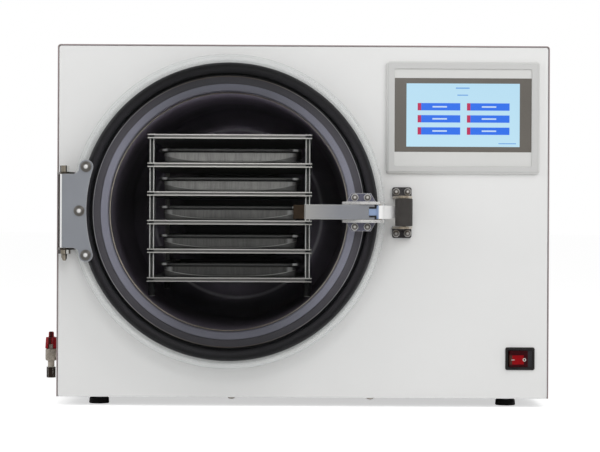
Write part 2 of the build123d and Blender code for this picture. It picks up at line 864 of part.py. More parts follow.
def make_hmi_housing():
    """Moulded screen housing: bevelled bezel, shallow recess, pocket for the glass, rear box."""
    with BuildPart() as housing:
        with BuildSketch(front_plane(hmi_x, hmi_z)):
            RectangleRounded(hmi_w, hmi_h, hmi_corner_r)
        extrude(amount=hmi_proud)
        chamfer(housing.faces().sort_by(Axis.Y)[0].outer_wire().edges(), hmi_bevel * 0.6, hmi_bevel)
        with BuildSketch(front_plane(hmi_x, hmi_z, hmi_proud)):
            RectangleRounded(hmi_face_w, hmi_face_h, hmi_bevel)
        extrude(amount=-hmi_recess, mode=Mode.SUBTRACT)
        with BuildSketch(front_plane(hmi_x, hmi_z)):
            Rectangle(hmi_box_w, hmi_box_h)
        extrude(amount=-hmi_box_d)
        with BuildSketch(front_plane(hmi_x, glass_z, hmi_proud - hmi_recess)):
            Rectangle(glass_w + fit, glass_h + fit)
        extrude(amount=-glass_t, mode=Mode.SUBTRACT)
        with BuildSketch(front_plane(hmi_x, hmi_z, -hmi_box_d)):
            Rectangle(hmi_box_w - 2 * hmi_wall, hmi_box_h - 2 * hmi_wall)
        extrude(amount=hmi_box_d - hmi_wall, mode=Mode.SUBTRACT)
    return housing


def make_hmi_glass():
    with BuildPart() as glass:
        with BuildSketch(front_plane(hmi_x, glass_z, hmi_proud - hmi_recess - glass_t)):
            Rectangle(glass_w, glass_h)
            Rectangle(display_w + fit, display_h + fit, mode=Mode.SUBTRACT)
        extrude(amount=glass_t)
    return glass


def make_hmi_display():
    with BuildPart() as display:
        with BuildSketch(front_plane(hmi_x, glass_z, hmi_proud - hmi_recess - glass_t)):
            Rectangle(display_w, display_h)
        extrude(amount=display_t)
    return display


def make_hmi_clamps():
    """Two screw clamps each side that pull the bezel against the panel from behind."""
    with BuildPart() as clamps:
        for side in (-1, 1):
            for level in (-1, 1):
                x = hmi_x + side * (hmi_box_w + clamp_t) / 2
                z = hmi_z + level * hmi_box_h / 4
                with BuildSketch(front_plane(x, z, -panel_t)):
                    Rectangle(clamp_t, clamp_w)
                extrude(amount=-hmi_box_d * 0.6)
    return clamps


def make_switch_housing():
    with BuildPart() as housing:
        with BuildSketch(front_plane(switch_x, switch_z)):
            RectangleRounded(switch_w, switch_h, switch_proud)
        extrude(amount=switch_proud)
        chamfer(housing.faces().sort_by(Axis.Y)[0].outer_wire().edges(), switch_proud * 0.4)
        with BuildSketch(front_plane(switch_x, switch_z)):
            Rectangle(switch_body_w, switch_body_h)
        extrude(amount=-switch_body_d)
        with BuildSketch(front_plane(switch_x, switch_z, switch_proud)):
            Rectangle(well_w, well_h)
        extrude(amount=-switch_proud - well_d, mode=Mode.SUBTRACT)
        with BuildSketch(level_plane(switch_x, 0, switch_z)):
            Circle(rocker_pin_r + fit)
        extrude(amount=well_h / 2 + rocker_pin_l + fit, both=True, mode=Mode.SUBTRACT)
        with BuildSketch(front_plane(switch_x, switch_z, -switch_body_d)):
            with GridLocations(switch_tab_pitch, 1, 3, 1):
                Rectangle(switch_tab_t, switch_tab_w)
        extrude(amount=-switch_tab_l)
    return housing


def make_switch_rocker():
    """Rocker that turns on an upright axis; its right-hand end is pressed in."""
    tilted = Plane(
        origin=(switch_x, panel_y, switch_z),
        x_dir=(cos(radians(rocker_tilt)), sin(radians(rocker_tilt)), 0),
        z_dir=(0, 0, 1),
    )
    half_h = well_h / 2 - rocker_gap
    with BuildPart() as rocker:
        with BuildSketch(tilted):
            with BuildLine():
                Polyline(
                    (-rocker_half_l, rocker_low),
                    (-rocker_half_l, -rocker_edge),
                    (0, -rocker_dip),
                    (rocker_half_l, -rocker_edge),
                    (rocker_half_l, rocker_low),
                )
                ThreePointArc(
                    (rocker_half_l, rocker_low), (0, 2 * rocker_low), (-rocker_half_l, rocker_low)
                )
            make_face()
        extrude(amount=half_h, both=True)
        with BuildSketch(tilted):
            Circle(rocker_pin_r)
        extrude(amount=well_h / 2 + rocker_pin_l - fit, both=True)
    return rocker


def make_drain_gland():
    """Bulkhead fitting through the left side, with a nut outside and one inside."""
    with BuildPart() as gland:
        with BuildSketch(side_plane(x_left + gland_inside, drain_depth, drain_z)):
            Circle(thread_r)
            Circle(drain_bore_r, mode=Mode.SUBTRACT)
        extrude(amount=gland_inside)
        with BuildSketch(side_plane(x_left, drain_depth, drain_z)):
            RegularPolygon(gland_nut_af / 2, 6, major_radius=False)
            Circle(drain_bore_r, mode=Mode.SUBTRACT)
        extrude(amount=gland_nut_h)
        with BuildSketch(side_plane(x_left + cover_t + gland_nut_h, drain_depth, drain_z)):
            RegularPolygon(gland_nut_af / 2, 6, major_radius=False)
            Circle(thread_r + fit, mode=Mode.SUBTRACT)
        extrude(amount=gland_nut_h)
    return gland


def make_drain_valve():
    """Angle valve: a level inlet from the gland, a round body, and an outlet that points down."""
    inlet_l = valve_out - gland_nut_h
    low = z_base + outlet_low
    with BuildPart() as valve:
        with BuildSketch(level_plane(valve_x, drain_depth, drain_z - valve_h / 2)):
            Circle(valve_r)
        extrude(amount=valve_h)
        fillet(valve.edges().filter_by(GeomType.CIRCLE), valve_round)
        with BuildSketch(side_plane(x_left - gland_nut_h, drain_depth, drain_z)):
            Circle(valve_neck_r + 1)
        extrude(amount=inlet_l)
        with BuildSketch(level_plane(valve_x, drain_depth, low)):
            Circle(valve_neck_r)
        extrude(amount=drain_z - low)
        with BuildSketch(level_plane(valve_x, drain_depth, low)):
            RegularPolygon(outlet_af / 2, 6, major_radius=False)
        extrude(amount=outlet_h)
        with BuildSketch(level_plane(valve_x, drain_depth, low)):
            Circle(outlet_bore_r)
        extrude(amount=drain_z - low, mode=Mode.SUBTRACT)
        with BuildSketch(side_plane(x_left - gland_nut_h, drain_depth, drain_z)):
            Circle(outlet_bore_r)
        extrude(amount=inlet_l, mode=Mode.SUBTRACT)
        with BuildSketch(level_plane(valve_x, drain_depth, drain_z + valve_h / 2)):
            RegularPolygon(packing_af / 2, 6, major_radius=False)
        extrude(amount=packing_h)
        with BuildSketch(level_plane(valve_x, drain_depth, drain_z + valve_h / 4)):
            Circle(stem_r + fit)
        extrude(amount=valve_h / 4 + packing_h, mode=Mode.SUBTRACT)
    return valve


def make_drain_handle():
    """Butterfly handle with its stem; the hollow skirt has a window in front and clears the packing nut."""
    skirt_z = drain_z + valve_h / 2 + fit
    wing_z = skirt_z + handle_skirt_h - wing_h / 2
    with BuildPart() as handle:
        with BuildSketch(level_plane(valve_x, drain_depth, skirt_z)):
            Circle(handle_r)
        extrude(amount=handle_skirt_h, taper=handle_taper)
        with BuildSketch(level_plane(valve_x, drain_depth, wing_z - wing_h / 2)):
            SlotOverall(wing_l, wing_t, rotation=90)
        extrude(amount=wing_h)
        with BuildSketch(level_plane(valve_x, drain_depth, skirt_z)):
            Circle(handle_stub_r)
        extrude(amount=handle_skirt_h + handle_stub_h)
        chamfer(handle.faces().sort_by(Axis.Z)[-1].edges(), handle_stub_r * 0.3)
        with BuildSketch(level_plane(valve_x, drain_depth, skirt_z)):
            Circle(handle_r - handle_wall)
        extrude(amount=handle_hollow_h, mode=Mode.SUBTRACT)
        with BuildSketch(front_plane(valve_x, skirt_z, -drain_depth)):
            Rectangle(handle_window_w, handle_hollow_h, align=(Align.CENTER, Align.MIN))
        extrude(amount=handle_r, mode=Mode.SUBTRACT)
        with BuildSketch(level_plane(valve_x, drain_depth, skirt_z - valve_h / 4 + 2 * fit)):
            Circle(stem_r)
        extrude(amount=handle_hollow_h + valve_h / 4)
    return handle


def bent_tube(points, bend_r, outer_r, inner_r=0.0):
    """Tube along straight runs joined by arcs."""
    start = Vector(points[0])
    along = (Vector(points[1]) - start).normalized()
    with BuildPart() as tube:
        with BuildLine():
            if len(points) > 2:
                FilletPolyline(*points, radius=bend_r)
            else:
                Line(*points)
        with BuildSketch(Plane(origin=start, z_dir=along)):
            Circle(outer_r)
            if inner_r > 0:
                Circle(inner_r, mode=Mode.SUBTRACT)
        sweep()
    return tube


def make_drain_pipe():
    start = (x_left + gland_inside, drain_y, drain_z)
    corner = (chamber_x, drain_y, drain_z)
    end = (chamber_x, drain_y, chamber_z - drum_r - drum_t - seat_gap)
    return bent_tube([start, corner, end], drain_bend_r, drain_tube_r, drain_bore_r)


def make_door_disc():
    """Clear disc, drilled from the front for the hinge bolts and the latch screws."""
    with BuildPart() as disc:
        with BuildSketch(front_plane(chamber_x, chamber_z, disc_back)):
            Circle(disc_r)
        extrude(amount=disc_t)
        chamfer(disc.edges().filter_by(GeomType.CIRCLE), disc_chamfer)
        with BuildSketch(front_plane(chamber_x, chamber_z, disc_front)):
            with Locations(*leaf_bolt_places):
                Circle(bolt_r + fit)
        extrude(amount=-bolt_l - fit, mode=Mode.SUBTRACT)
        with BuildSketch(front_plane(chamber_x, chamber_z, disc_front)):
            with Locations(*latch_screw_places):
                Circle(screw_r + fit)
        extrude(amount=-screw_l + ear_foot_t - fit, mode=Mode.SUBTRACT)
    return disc


def make_hinge_leaf():
    """Flat leaf that follows the disc's edge, with two lobes and a barrel for the pin."""
    turn = radians(leaf_bolt_angle)
    lobe_r = leaf_band_w / 2
    inner_r = leaf_bolt_r - lobe_r
    lobe_x = -leaf_bolt_r * cos(turn)
    lobe_y = leaf_bolt_r * sin(turn)
    side_x = lobe_x - lobe_r
    inner_x = -inner_r * cos(turn)
    inner_y = inner_r * sin(turn)
    with BuildPart() as leaf:
        with BuildSketch(front_plane(chamber_x, chamber_z, disc_front)) as outline:
            with BuildLine():
                Polyline(
                    (side_x, lobe_y),
                    (side_x, leaf_half_h),
                    (-hinge_pin_u, leaf_half_h),
                    (-hinge_pin_u, -leaf_half_h),
                    (side_x, -leaf_half_h),
                    (side_x, -lobe_y),
                )
                ThreePointArc((side_x, -lobe_y), (lobe_x, -lobe_y - lobe_r), (inner_x, -inner_y))
                ThreePointArc((inner_x, -inner_y), (-inner_r, 0), (inner_x, inner_y))
                ThreePointArc((inner_x, inner_y), (lobe_x, lobe_y + lobe_r), (side_x, lobe_y))
            make_face()
            corners = outline.vertices().filter_by(
                lambda corner: abs(abs(corner.Y) - leaf_half_h) < 0.5 and corner.X > 1 - hinge_pin_u
            )
            fillet(corners, leaf_fillet)
            with Locations(*leaf_bolt_places):
                Circle(bolt_r + fit, mode=Mode.SUBTRACT)
        extrude(amount=leaf_t)
        with BuildSketch(pin_plane(-hinge_pin_u, hinge_v, -leaf_half_h)):
            Circle(barrel_r)
        extrude(amount=2 * leaf_half_h)
        with BuildSketch(pin_plane(-hinge_pin_u, hinge_v, -leaf_half_h)):
            Circle(hinge_pin_r + fit)
        extrude(amount=2 * leaf_half_h, mode=Mode.SUBTRACT)
    return leaf


def make_hinge_bracket():
    """Plate on the panel with an ear above and below the door's barrel."""
    ear_low = leaf_half_h + bracket_gap
    middle_u = -hinge_pin_u + bracket_side - bracket_base_w / 2
    with BuildPart() as bracket:
        with BuildSketch(front_plane(chamber_x + middle_u, chamber_z)):
            Rectangle(bracket_base_w, 2 * (ear_low + bracket_t))
            with Locations(*[(-hinge_pin_u - middle_u, w) for w in bracket_screw_ups]):
                Circle(screw_r + fit, mode=Mode.SUBTRACT)
        extrude(amount=bracket_t)
        for low in (ear_low, -ear_low - bracket_t):
            with BuildSketch(pin_plane(-hinge_pin_u, 0, low)):
                with BuildLine():
                    left = bracket_side - bracket_base_w
                    Polyline((barrel_r, -hinge_v), (bracket_side, -hinge_v / 2), (bracket_side, 0))
                    Polyline((bracket_side, 0), (left, 0), (left, -hinge_v / 2), (-barrel_r, -hinge_v))
                    ThreePointArc((-barrel_r, -hinge_v), (0, -hinge_v - barrel_r), (barrel_r, -hinge_v))
                make_face()
                with Locations((0, -hinge_v)):
                    Circle(hinge_pin_r + fit, mode=Mode.SUBTRACT)
            extrude(amount=bracket_t)
    return bracket


def make_hinge_pin():
    """Bolt down through both ears, with its nut and a domed nut below."""
    top = leaf_half_h + bracket_gap + bracket_t
    nut = hex_nut(pin_nut_af, pin_nut_h, hinge_pin_r + fit)
    with BuildPart() as cap:
        with BuildSketch():
            RegularPolygon(cap_nut_af / 2, 6, major_radius=False)
        extrude(amount=-cap_nut_h)
        with BuildSketch(Plane.XY.offset(-cap_nut_h)):
            Circle(cap_nut_af / 2)
        extrude(amount=-cap_dome_h, taper=20)
        fillet(cap.faces().sort_by(Axis.Z)[0].edges(), cap_dome_h * 0.4)
        with BuildSketch():
            Circle(hinge_pin_r + fit)
        extrude(amount=-cap_nut_h, mode=Mode.SUBTRACT)
    with BuildPart() as pin:
        with BuildSketch(pin_plane(-hinge_pin_u, hinge_v, top)):
            RegularPolygon(pin_nut_af / 2, 6, major_radius=False)
        extrude(amount=pin_head_h)
        chamfer(pin.faces().sort_by(Axis.Z)[-1].edges(), pin_head_h * 0.12)
        with BuildSketch(pin_plane(-hinge_pin_u, hinge_v, top)):
            Circle(hinge_pin_r)
        extrude(amount=-2 * top - pin_nut_h - cap_nut_h + fit)
    with BuildPart() as group:
        add(pin.part)
        with Locations(pin_plane(-hinge_pin_u, hinge_v, -top - pin_nut_h)):
            add(nut.part)
        with Locations(pin_plane(-hinge_pin_u, hinge_v, -top - pin_nut_h - fit)):
            add(cap.part)
    return group


def make_hinge_bolts():
    bolt = dome_screw(bolt_head_r, bolt_head_h, bolt_r, leaf_t + bolt_l)
    seats = [
        front_plane(chamber_x + u, chamber_z + w, disc_front + leaf_t) for u, w in leaf_bolt_places
    ]
    return copies(bolt, seats)


def make_panel_screws():
    """The hinge bracket's and the keeper's screws, through the front panel."""
    screw = dome_screw(screw_head_r, screw_head_h, screw_r, screw_l)
    seats = [front_plane(chamber_x + u, chamber_z + w, bracket_t) for u, w in bracket_holes]
    seats += [front_plane(chamber_x + u, chamber_z + w, keeper_t) for u, w in keeper_holes]
    return copies(screw, seats)


def make_latch_ears():
    """Two angle brackets on the disc: a tapered foot and an upright ear with a round nose."""
    inner = lever_w / 2 + side_gap
    outer = inner + ear_t
    nose = latch_v - disc_front
    with BuildPart() as ears:
        for side in (1, -1):
            low = inner if side > 0 else -outer
            with BuildSketch(pin_plane(0, disc_front, low)):
                with BuildLine():
                    Polyline(
                        (latch_u, -nose - ear_nose_r),
                        (latch_u - ear_rise, -nose - ear_nose_r),
                        (latch_u - ear_tail, -ear_foot_t),
                        (latch_u - ear_tail, 0),
                        (latch_u - ear_nose_r, 0),
                        (latch_u + ear_nose_r, -nose),
                    )
                    RadiusArc((latch_u + ear_nose_r, -nose), (latch_u, -nose - ear_nose_r), -ear_nose_r)
                make_face()
                with Locations((latch_u, -nose)):
                    Circle(latch_pin_r + fit, mode=Mode.SUBTRACT)
            extrude(amount=ear_t)
            with BuildSketch(front_plane(chamber_x, chamber_z, disc_front)):
                with BuildLine():
                    Polyline(
                        (ear_foot_u - ear_foot_in_w / 2, side * (outer - ear_t / 2)),
                        (ear_foot_u - ear_foot_out_w / 2, side * (outer + ear_foot_h)),
                        (ear_foot_u + ear_foot_out_w / 2, side * (outer + ear_foot_h)),
                        (ear_foot_u + ear_foot_in_w / 2, side * (outer - ear_t / 2)),
                        close=True,
                    )
                make_face()
                with Locations(*latch_screw_places):
                    Circle(screw_r + fit, mode=Mode.SUBTRACT)
            extrude(amount=ear_foot_t)
    return ears


def make_latch_screws():
    screw = dome_screw(screw_head_r, screw_head_h, screw_r, screw_l)
    seats = [
        front_plane(chamber_x + u, chamber_z + w, disc_front + ear_foot_t)
        for u, w in latch_screw_places
    ]
    return copies(screw, seats)


def make_latch_pin():
    length = lever_w + 2 * side_gap + 2 * ear_t
    with BuildPart() as pin:
        with BuildSketch(pin_plane(latch_u, latch_v, -length / 2)):
            Circle(latch_pin_r)
        extrude(amount=length)
    return pin


def make_latch_lever():
    """Flat bar between the ears, bevelled at its free end and notched beside the pivot."""
    length = lever_right_u - lever_left_u
    middle = (lever_right_u + lever_left_u) / 2
    with BuildPart() as lever:
        with BuildSketch(front_plane(chamber_x + middle, chamber_z, lever_front)):
            Rectangle(length, lever_w)
        extrude(amount=-lever_t)
        front = lever.faces().sort_by(Axis.Y)[0]
        chamfer(front.edges().sort_by(Axis.X)[0], lever_bevel)
        chamfer(lever.faces().sort_by(Axis.Y)[0].edges().filter_by(Axis.X), lever_edge)
        with BuildSketch(front_plane(chamber_x + lever_right_u, chamber_z, lever_front)):
            Rectangle(notch_l, notch_w, align=(Align.MAX, Align.CENTER))
        extrude(amount=-lever_t, mode=Mode.SUBTRACT)
    return lever


def make_latch_grip():
    """Finger grip turned up from the lever's free end."""
    with BuildPart() as grip:
        with BuildSketch(pin_plane(lever_left_u, lever_front - lever_t, -grip_w / 2)):
            with BuildLine():
                run = grip_l * cos(radians(grip_angle))
                thick = lever_t - lever_bevel
                Polyline((0, 0), (0, -thick), (-run, -thick - grip_rise))
                Polyline((-run, -thick - grip_rise), (-run - grip_cut, -grip_rise), (0, 0))
            make_face()
        extrude(amount=grip_w)
        tips = grip.edges().filter_by(Axis.Z).sort_by(Axis.X)[:2]
        fillet(tips, grip_round)
    return grip


def make_latch_tongue():
    """Hook plate: a tab in the lever's notch, a barrel round the pivot, and the bent hook."""
    out = roller_r + seat_gap + tongue_t / 2
    half = tongue_t / 2
    slope = sin(radians(45))
    near = (roller_u - slope * out, roller_stand - slope * out)
    bend = (near[0] - slope * hook_l, near[1] + slope * hook_l)
    tip = (near[0] + slope * hook_reach, near[1] - slope * hook_reach)
    tab_u = lever_right_u - notch_l + side_gap
    tab_w = notch_w - 2 * side_gap
    with BuildPart() as tongue:
        with BuildSketch(pin_plane(0, 0, -tongue_w / 2)):
            with BuildLine():
                Polyline(
                    (latch_u, -latch_v - knuckle_out_r),
                    (bend[0] + half, -bend[1] - half),
                    (tip[0] + slope * half, -tip[1] - slope * half),
                    (tip[0] - slope * half, -tip[1] + slope * half),
                    (bend[0] - half, -bend[1] + half),
                    (latch_u, -latch_v - knuckle_out_r + tongue_t),
                    close=True,
                )
            make_face()
            with Locations((latch_u, -latch_v)):
                Circle(knuckle_out_r)
        extrude(amount=tongue_w)
        with BuildSketch(pin_plane(0, 0, -tab_w / 2)):
            with BuildLine():
                Polyline(
                    (tab_u, -lever_front + tab_drop),
                    (tab_u, -lever_front + lever_t),
                    (latch_u, -lever_front + lever_t),
                    (latch_u, -lever_front + tab_drop),
                    close=True,
                )
            make_face()
        extrude(amount=tab_w)
        with BuildSketch(pin_plane(latch_u, latch_v, -tongue_w / 2)):
            Circle(latch_pin_r + fit)
        extrude(amount=tongue_w, mode=Mode.SUBTRACT)
        with BuildSketch(front_plane(chamber_x, chamber_z, latch_v + knuckle_out_r)):
            with BuildLine():
                end_u = tip[0] + tongue_t
                Polyline(
                    (tab_u, tongue_w / 2),
                    (bend[0], tongue_w / 2),
                    (end_u, tongue_tip_w / 2),
                    (end_u, -tongue_tip_w / 2),
                    (bend[0], -tongue_w / 2),
                    (tab_u, -tongue_w / 2),
                    close=True,
                )
            make_face()
        extrude(amount=-latch_v, mode=Mode.INTERSECT)
    return tongue


def make_keeper_ears():
    """Two angle brackets on the panel that hold the roller between them."""
    inner = roller_h / 2 + side_gap
    outer = inner + keeper_t
    with BuildPart() as ears:
        for side in (1, -1):
            low = inner if side > 0 else -outer
            with BuildSketch(pin_plane(roller_u, 0, low)):
                with BuildLine():
                    half = keeper_w / 2
                    Polyline((keeper_nose_r, -roller_stand), (half, -roller_stand / 2), (half, 0))
                    Polyline((half, 0), (-half, 0), (-half, -roller_stand / 2))
                    Line((-half, -roller_stand / 2), (-keeper_nose_r, -roller_stand))
                    ThreePointArc(
                        (-keeper_nose_r, -roller_stand),
                        (0, -roller_stand - keeper_nose_r),
                        (keeper_nose_r, -roller_stand),
                    )
                make_face()
                with Locations((0, -roller_stand)):
                    Circle(roller_pin_r + fit, mode=Mode.SUBTRACT)
            extrude(amount=keeper_t)
            foot_w = outer - keeper_t / 2 + (keeper_foot_h + keeper_t / 2) / 2
            with BuildSketch(front_plane(chamber_x + roller_u, chamber_z + side * foot_w)):
                RectangleRounded(keeper_foot_w, keeper_foot_h + keeper_t / 2, keeper_foot_round)
            extrude(amount=keeper_t)
            with BuildSketch(front_plane(chamber_x, chamber_z)):
                with Locations(*keeper_holes):
                    Circle(screw_r + fit)
            extrude(amount=keeper_t, mode=Mode.SUBTRACT)
    return ears


def make_keeper_pin():
    length = roller_h + 2 * side_gap + 2 * keeper_t
    with BuildPart() as pin:
        with BuildSketch(pin_plane(roller_u, roller_stand, -length / 2)):
            Circle(roller_pin_r)
        extrude(amount=length)
    return pin


def make_keeper_roller():
    with BuildPart() as roller:
        with BuildSketch(pin_plane(roller_u, roller_stand, -roller_h / 2)):
            Circle(roller_r)
        extrude(amount=roller_h)
        chamfer(roller.edges().filter_by(GeomType.CIRCLE), roller_chamfer)
        with BuildSketch(pin_plane(roller_u, roller_stand, -roller_h / 2)):
            Circle(roller_pin_r + fit)
        extrude(amount=roller_h, mode=Mode.SUBTRACT)
    return roller


def make_compressor():
    """Welded two-part shell with its seam, base plate and two line stubs on top."""
    low = floor_z + grommet_h
    dome_l = compressor_dome * 0.3
    with BuildPart() as compressor:
        with BuildSketch(level_plane(machine_x, compressor_depth, low)):
            RectangleRounded(plate_w, plate_l, grommet_r)
            with GridLocations(2 * grommet_dx, 2 * grommet_dy, 2, 2):
                Circle(grommet_r / 2, mode=Mode.SUBTRACT)
        extrude(amount=plate_t)
        with BuildSketch(level_plane(machine_x, compressor_depth, low + plate_t)):
            Circle(compressor_r)
        extrude(amount=compressor_h)
        fillet(compressor.faces().sort_by(Axis.Z)[-1].edges(), compressor_dome)
        with BuildSketch(level_plane(machine_x, compressor_depth, low + compressor_h * 0.55)):
            Circle(seam_r)
        extrude(amount=seam_h)
        with BuildSketch(level_plane(machine_x, compressor_depth, low + compressor_h - dome_l)):
            with Locations((-stub_dx, stub_dy), (stub_dx, stub_dy)):
                Circle(line_r + 1)
        extrude(amount=dome_l + plate_t + stub_h)
        with BuildSketch(level_plane(machine_x, compressor_depth, stub_z - line_socket)):
            with Locations((-stub_dx, stub_dy), (stub_dx, stub_dy)):
                Circle(line_r + fit)
        extrude(amount=line_socket + 1, mode=Mode.SUBTRACT)
    return compressor


def make_compressor_grommets():
    with BuildPart() as grommets:
        with BuildSketch(level_plane(machine_x, compressor_depth, floor_z)):
            with GridLocations(2 * grommet_dx, 2 * grommet_dy, 2, 2):
                Circle(grommet_r)
        extrude(amount=grommet_h)
    return grommets


def make_condenser():
    """Fin block between two end plates that stand on the tray."""
    middle = condenser_depth + condenser_d / 2
    with BuildPart() as condenser:
        with BuildSketch(level_plane(machine_x, middle, floor_z)):
            Rectangle(condenser_w, condenser_d)
        extrude(amount=condenser_h)
        pitch = (condenser_w - 2 * plate_t) / fin_count
        with BuildSketch(level_plane(machine_x, condenser_depth, floor_z + plate_t)):
            with GridLocations(pitch, 1, fin_count, 1):
                Rectangle(fin_slot, condenser_d * 0.7, align=(Align.CENTER, Align.MIN))
        extrude(amount=condenser_h - 2 * plate_t, mode=Mode.SUBTRACT)
        with BuildSketch(level_plane(machine_x, middle, floor_z + condenser_h - line_socket)):
            with Locations(*condenser_ports):
                Circle(line_r + fit)
        extrude(amount=line_socket, mode=Mode.SUBTRACT)
    return condenser


def make_fan_housing():
    """Square frame with a round duct and four arms that carry the hub's seat."""
    with BuildPart() as housing:
        with BuildSketch(front_plane(machine_x, fan_z, -cabinet_d + cover_t + fan_d)):
            RectangleRounded(fan_size, fan_size, fan_corner_r)
            Circle(fan_bore_r, mode=Mode.SUBTRACT)
        extrude(amount=-fan_d)
        with BuildSketch(front_plane(machine_x, fan_z, -cabinet_d + cover_t + fan_d)):
            Circle(fan_hub_r)
            Rectangle(2 * fan_bore_r + 1, fan_arm_w)
            Rectangle(fan_arm_w, 2 * fan_bore_r + 1)
        extrude(amount=-fan_arm_t)
        with BuildSketch(front_plane(machine_x, fan_z, -cabinet_d + cover_t + fan_d)):
            Circle(fan_axle_r)
        extrude(amount=-fan_d + fan_arm_t)
    return housing


def make_fan_impeller():
    """Hub with slanted blades, running on the housing's fixed axle."""
    front = -cabinet_d + cover_t + fan_d - fan_arm_t - fan_gap
    hub_l = fan_d - fan_arm_t - 2 * fan_gap
    middle = front_plane(machine_x, fan_z, front - hub_l / 2)
    with BuildPart() as impeller:
        for blade in range(fan_blades):
            turn = radians(360 * blade / fan_blades)
            outwards = (cos(turn), 0, sin(turn))
            root = Plane(origin=middle.origin, x_dir=(0, -1, 0), z_dir=outwards)
            with BuildSketch(root.offset(fan_hub_r / 2)):
                Rectangle(fan_blade_w, fan_blade_t, rotation=fan_pitch_angle)
            extrude(amount=fan_blade_r - fan_hub_r / 2)
        with BuildSketch(middle):
            Circle(fan_hub_r)
        extrude(amount=hub_l / 2, both=True)
        with BuildSketch(middle):
            Circle(fan_axle_r + fit)
        extrude(amount=hub_l / 2, both=True, mode=Mode.SUBTRACT)
    return impeller


def make_divider():
    """Folded sheet between the chamber and the machinery, with the electronics shelf."""
    web_l = tray_d - 2 * cover_t
    with BuildPart() as divider:
        with BuildSketch(level_plane(divider_x, panel_t + cover_t, floor_z)):
            Rectangle(cover_t, web_l, align=(Align.MIN, Align.MIN))
        extrude(amount=divider_h)
        with BuildSketch(level_plane(divider_x, shelf_front, bay_shelf_z)):
            Rectangle(
                x_right - cover_t - cover_gap - divider_x,
                shelf_back - shelf_front,
                align=(Align.MIN, Align.MIN),
            )
        extrude(amount=cover_t)
        with BuildSketch(level_plane(divider_x, shelf_front, bay_shelf_z)):
            Rectangle(x_right - cover_t - cover_gap - divider_x, cover_t, align=(Align.MIN, Align.MIN))
        extrude(amount=-panel_fold)
    return divider


def make_control_board():
    """Circuit board on four posts, with its relays, terminals and a heat sink."""
    low = bay_shelf_z + cover_t
    board_z = low + board_post_h
    board_depth = shelf_front + shelf_margin + board_l / 2
    with BuildPart() as board:
        with BuildSketch(level_plane(board_x, board_depth, low)):
            with GridLocations(board_w - 2 * board_edge, board_l - 2 * board_edge, 2, 2):
                Circle(board_post_r)
        extrude(amount=board_post_h)
        with BuildSketch(level_plane(board_x, board_depth, board_z)):
            Rectangle(board_w, board_l)
        extrude(amount=board_t)
        with BuildSketch(level_plane(board_x, board_depth, board_z + board_t)):
            with Locations((-board_w / 4, -board_l / 4)):
                with GridLocations(relay_w + 4, 1, 2, 1):
                    Rectangle(relay_w, relay_w)
            with Locations((0, board_l / 2 - board_edge)):
                Rectangle(board_w * 0.7, terminal_w)
        extrude(amount=relay_w)
    return board


def make_power_supply():
    """Vented metal case on the electronics shelf."""
    low = bay_shelf_z + cover_t
    supply_depth = shelf_front + shelf_margin + supply_l / 2
    with BuildPart() as supply:
        with BuildSketch(level_plane(supply_x, supply_depth, low)):
            Rectangle(supply_w, supply_l)
        extrude(amount=supply_h)
        with BuildSketch(level_plane(supply_x, supply_depth, low + supply_h)):
            with GridLocations(1, vent_pitch, 1, vent_rows):
                Rectangle(supply_w * 0.6, vent_h)
        extrude(amount=-cover_t, mode=Mode.SUBTRACT)
    return supply


def make_power_inlet():
    """Three-blade mains inlet in the rear panel."""
    rear = front_plane(inlet_x, inlet_z, -cabinet_d)
    corner = socket_h * 0.22
    with BuildPart() as inlet:
        with BuildSketch(rear):
            RectangleRounded(inlet_w, inlet_h, inlet_t)
        extrude(amount=-inlet_t)
        with BuildSketch(rear):
            Rectangle(inlet_body_w, inlet_body_h)
        extrude(amount=inlet_body_d)
        with BuildSketch(rear.offset(-inlet_t)) as recess:
            Rectangle(socket_w, socket_h)
            chamfer(recess.vertices().group_by(Axis.Y)[-1], corner)
        extrude(amount=socket_d, mode=Mode.SUBTRACT)
        with BuildSketch(rear.offset(socket_d - inlet_t)):
            with Locations((-blade_pitch, 0), (blade_pitch, 0), (0, blade_up)):
                Rectangle(blade_t, blade_w)
        extrude(amount=-blade_l)
    return inlet


def make_refrigerant_lines():
    """Suction and discharge lines of the compressor, and the liquid line with its drier."""
    coil_top = chamber_z + drum_r + drum_t + coil_gap + coil_h + seat_gap
    stub_y = panel_y + compressor_depth + stub_dy
    plate_y = panel_y + condenser_depth + condenser_d / 2
    plate_z = floor_z + condenser_h - line_socket + fit
    start_y = panel_y + coil_start
    end_y = panel_y + coil_end
    left_x = machine_x - stub_dx
    right_x = machine_x + stub_dx
    liquid_x = machine_x + condenser_ports[0][0]
    suction = bent_tube(
        [
            (left_x, stub_y, stub_z - line_socket + fit),
            (left_x, stub_y, line_z),
            (chamber_x, end_y, line_z),
            (chamber_x, end_y, coil_top),
        ],
        line_bend_r,
        line_r,
    )
    discharge = bent_tube(
        [
            (right_x, stub_y, stub_z - line_socket + fit),
            (right_x, stub_y, stub_z + discharge_rise),
            (right_x, plate_y, stub_z + discharge_rise),
            (right_x, plate_y, plate_z),
        ],
        line_bend_r,
        line_r,
    )
    liquid = bent_tube(
        [
            (liquid_x, plate_y, plate_z),
            (liquid_x, plate_y, line_z),
            (chamber_x - liquid_side, plate_y, line_z),
            (chamber_x - liquid_side, start_y, line_z),
            (chamber_x, start_y, line_z),
            (chamber_x, start_y, coil_top),
        ],
        line_bend_r,
        line_r,
    )
    with BuildPart() as lines:
        add(suction.part)
        add(discharge.part)
        add(liquid.part)
        with BuildSketch(Plane(origin=(liquid_x, plate_y, bay_shelf_z), z_dir=(0, 0, 1))):
            Circle(drier_r)
        extrude(amount=drier_l)
    return lines


